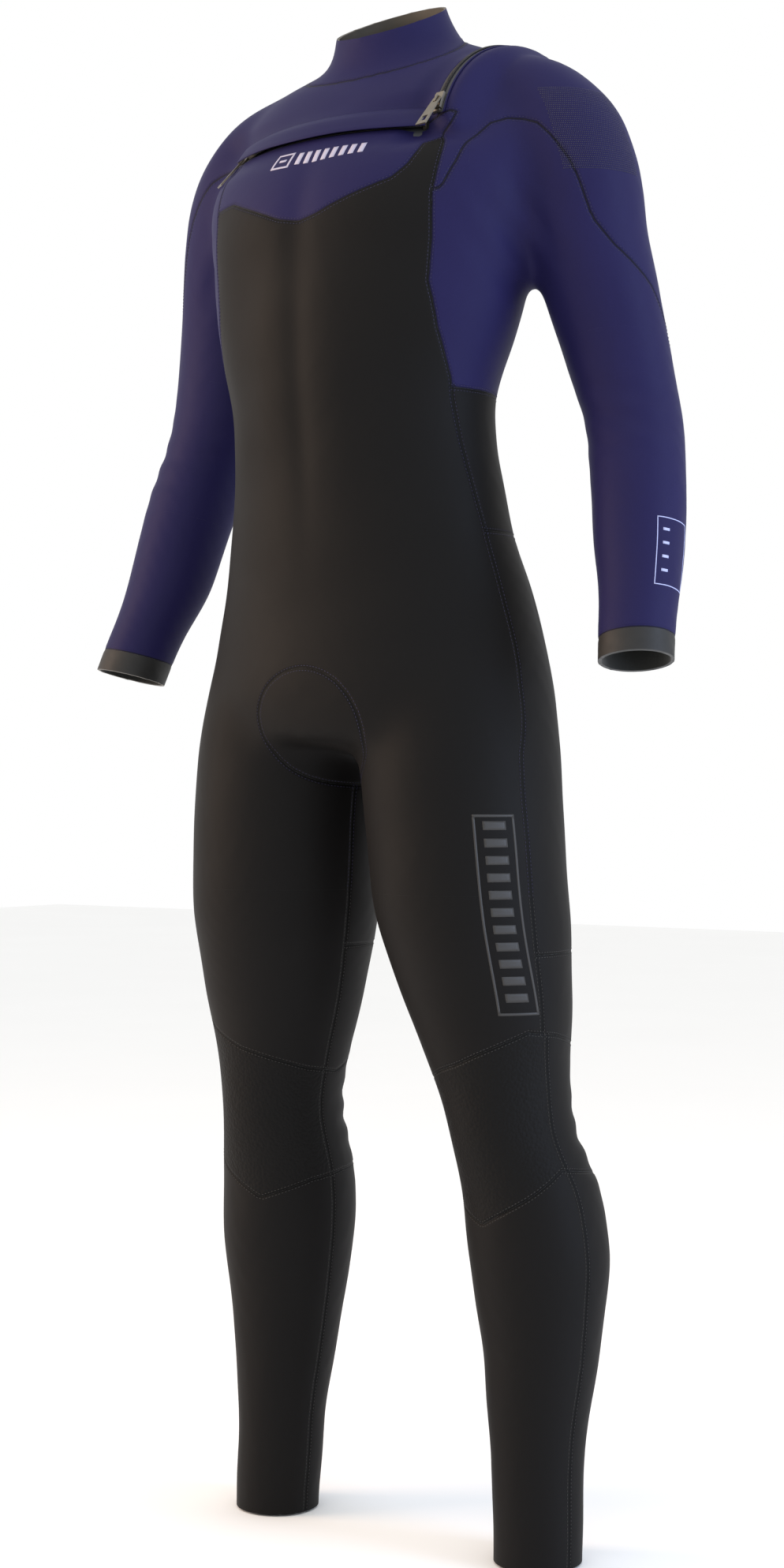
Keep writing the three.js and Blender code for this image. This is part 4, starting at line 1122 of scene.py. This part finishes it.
def make_prints():
    def chest(u, v):
        deg = math.degrees((u - 54) / CHEST_ZIP["r"]) + 4.5
        return cone_point(-41 + v, 0, deg)

    bars = frame_bars(20, 20, 2.2) + [(6, 8.5, 14, 11.5)]
    bars += [(26 + 9 * i, 2.5, 31 + 9 * i, 17.5) for i in range(8)]
    film("chest_mark", bars, chest, PALE_PRINT, "suit", "")

    def thigh(u, v):
        z = 512 + v
        cx, cy, rx, ry = at(LEG, z)[0]
        a = math.radians(40 + math.degrees(u / ((rx + ry) / 2)))
        return [cx + rx * math.sin(a), cy - ry * math.cos(a), z]

    bars = frame_bars(40, 181, 2.4) + [(9, 12 + 15.5 * i, 31, 20 + 15.5 * i) for i in range(11)]
    film("thigh_mark", bars, thigh, GREY_PRINT, "leg", "left")

    def forearm(u, v):
        q = 886 + v
        cx, cy, rx, ry = at(ARM, q)[0]
        a = math.radians(52 + math.degrees(u / ((rx + ry) / 2)))
        dx, dy = rx * math.sin(a), -ry * math.cos(a)
        return [cx + dx, cy + dy, q + lean(q) * (dx - 1.33 * dy)]

    bars = frame_bars(40, 60, 0.8) + [(6, 12 + 12 * i, 13, 14.4 + 12 * i) for i in range(4)]
    film("forearm_mark", bars, forearm, BLUE_PRINT, "arm", "left")
    dots = []
    for i in range(44):
        for j in range(40):
            a = math.radians(22 + 1.75 * (i + 0.5 * (j % 2)))
            q = 1272 + 2.0 * j
            cx, cy, rx, ry = at(ARM, q)[0]
            dots.append([cx + rx * math.sin(a), cy - ry * math.cos(a), q])
    spots, normals = on_skin(np.array(dots), 0.05)
    tree = repeat_tree("printed_dot_grid", DOT_PRINT, False)
    singles = [(np.array([p]), np.array([n])) for p, n in zip(spots, normals)]
    obj = repeat_along("shoulder_dots", singles, tree, {"Length": 0.0013, "Width": 0.0013, "Height": 0.0005})
    carry(obj, "arm", "left")


make_prints()


# ==== Finishes of the hard parts, floor, lights
def finish_hard_parts():
    for name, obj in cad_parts.items():
        if any(word in name for word in ("slider", "puller", "_stop_")):
            obj.data.materials.clear()
            obj.data.materials.append(METAL)


finish_hard_parts()


def area_light(name, place, size, watts, colour, aim=(0.0, 0.0, -0.65)):
    light = bpy.data.lights.new(name, "AREA")
    light.shape = "RECTANGLE"
    light.size, light.size_y = size
    light.energy = watts
    light.color = linear(colour)[:3]
    obj = add_object(name, light)
    obj.location = place
    obj.rotation_euler = (Vector(aim) - Vector(place)).to_track_quat("-Z", "Y").to_euler()


def make_studio():
    mesh = bpy.data.meshes.new("floor")
    low = cad_box[0][2] - 0.002
    mesh.from_pydata([(-9, -9, low), (9, -9, low), (9, 9, low), (-9, 9, low)], [], [(0, 1, 2, 3)])
    floor = add_object("floor", mesh)
    mesh.materials.append(plain_finish("matt_studio_floor", "#f7f7f6", "#f4f4f3", 0.9, scale=2.0))
    floor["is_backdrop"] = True
    area_light("warm_side", (-2.0, -1.5, 0.1), (1.2, 2.4), 50, "#ffd9b8")
    area_light("cool_side", (2.3, 0.35, -0.2), (1.0, 2.6), 46, "#b9cdf0")
    area_light("soft_top", (0.6, -1.2, 1.7), (2.4, 2.0), 12, "#ffffff")
    world = bpy.data.worlds.new("studio_air")
    bpy.context.scene.world = world
    world.use_nodes = True
    world.node_tree.nodes["Background"].inputs["Color"].default_value = (1, 1, 1, 1)
    world.node_tree.nodes["Background"].inputs["Strength"].default_value = 1.0
    bpy.context.scene.view_settings.view_transform = "Standard"


make_studio()
visual_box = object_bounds()
boxes = {"cad": cad_box, "visual": visual_box}
{k: [list(map(float, v)) for v in box] for k, box in boxes.items()}
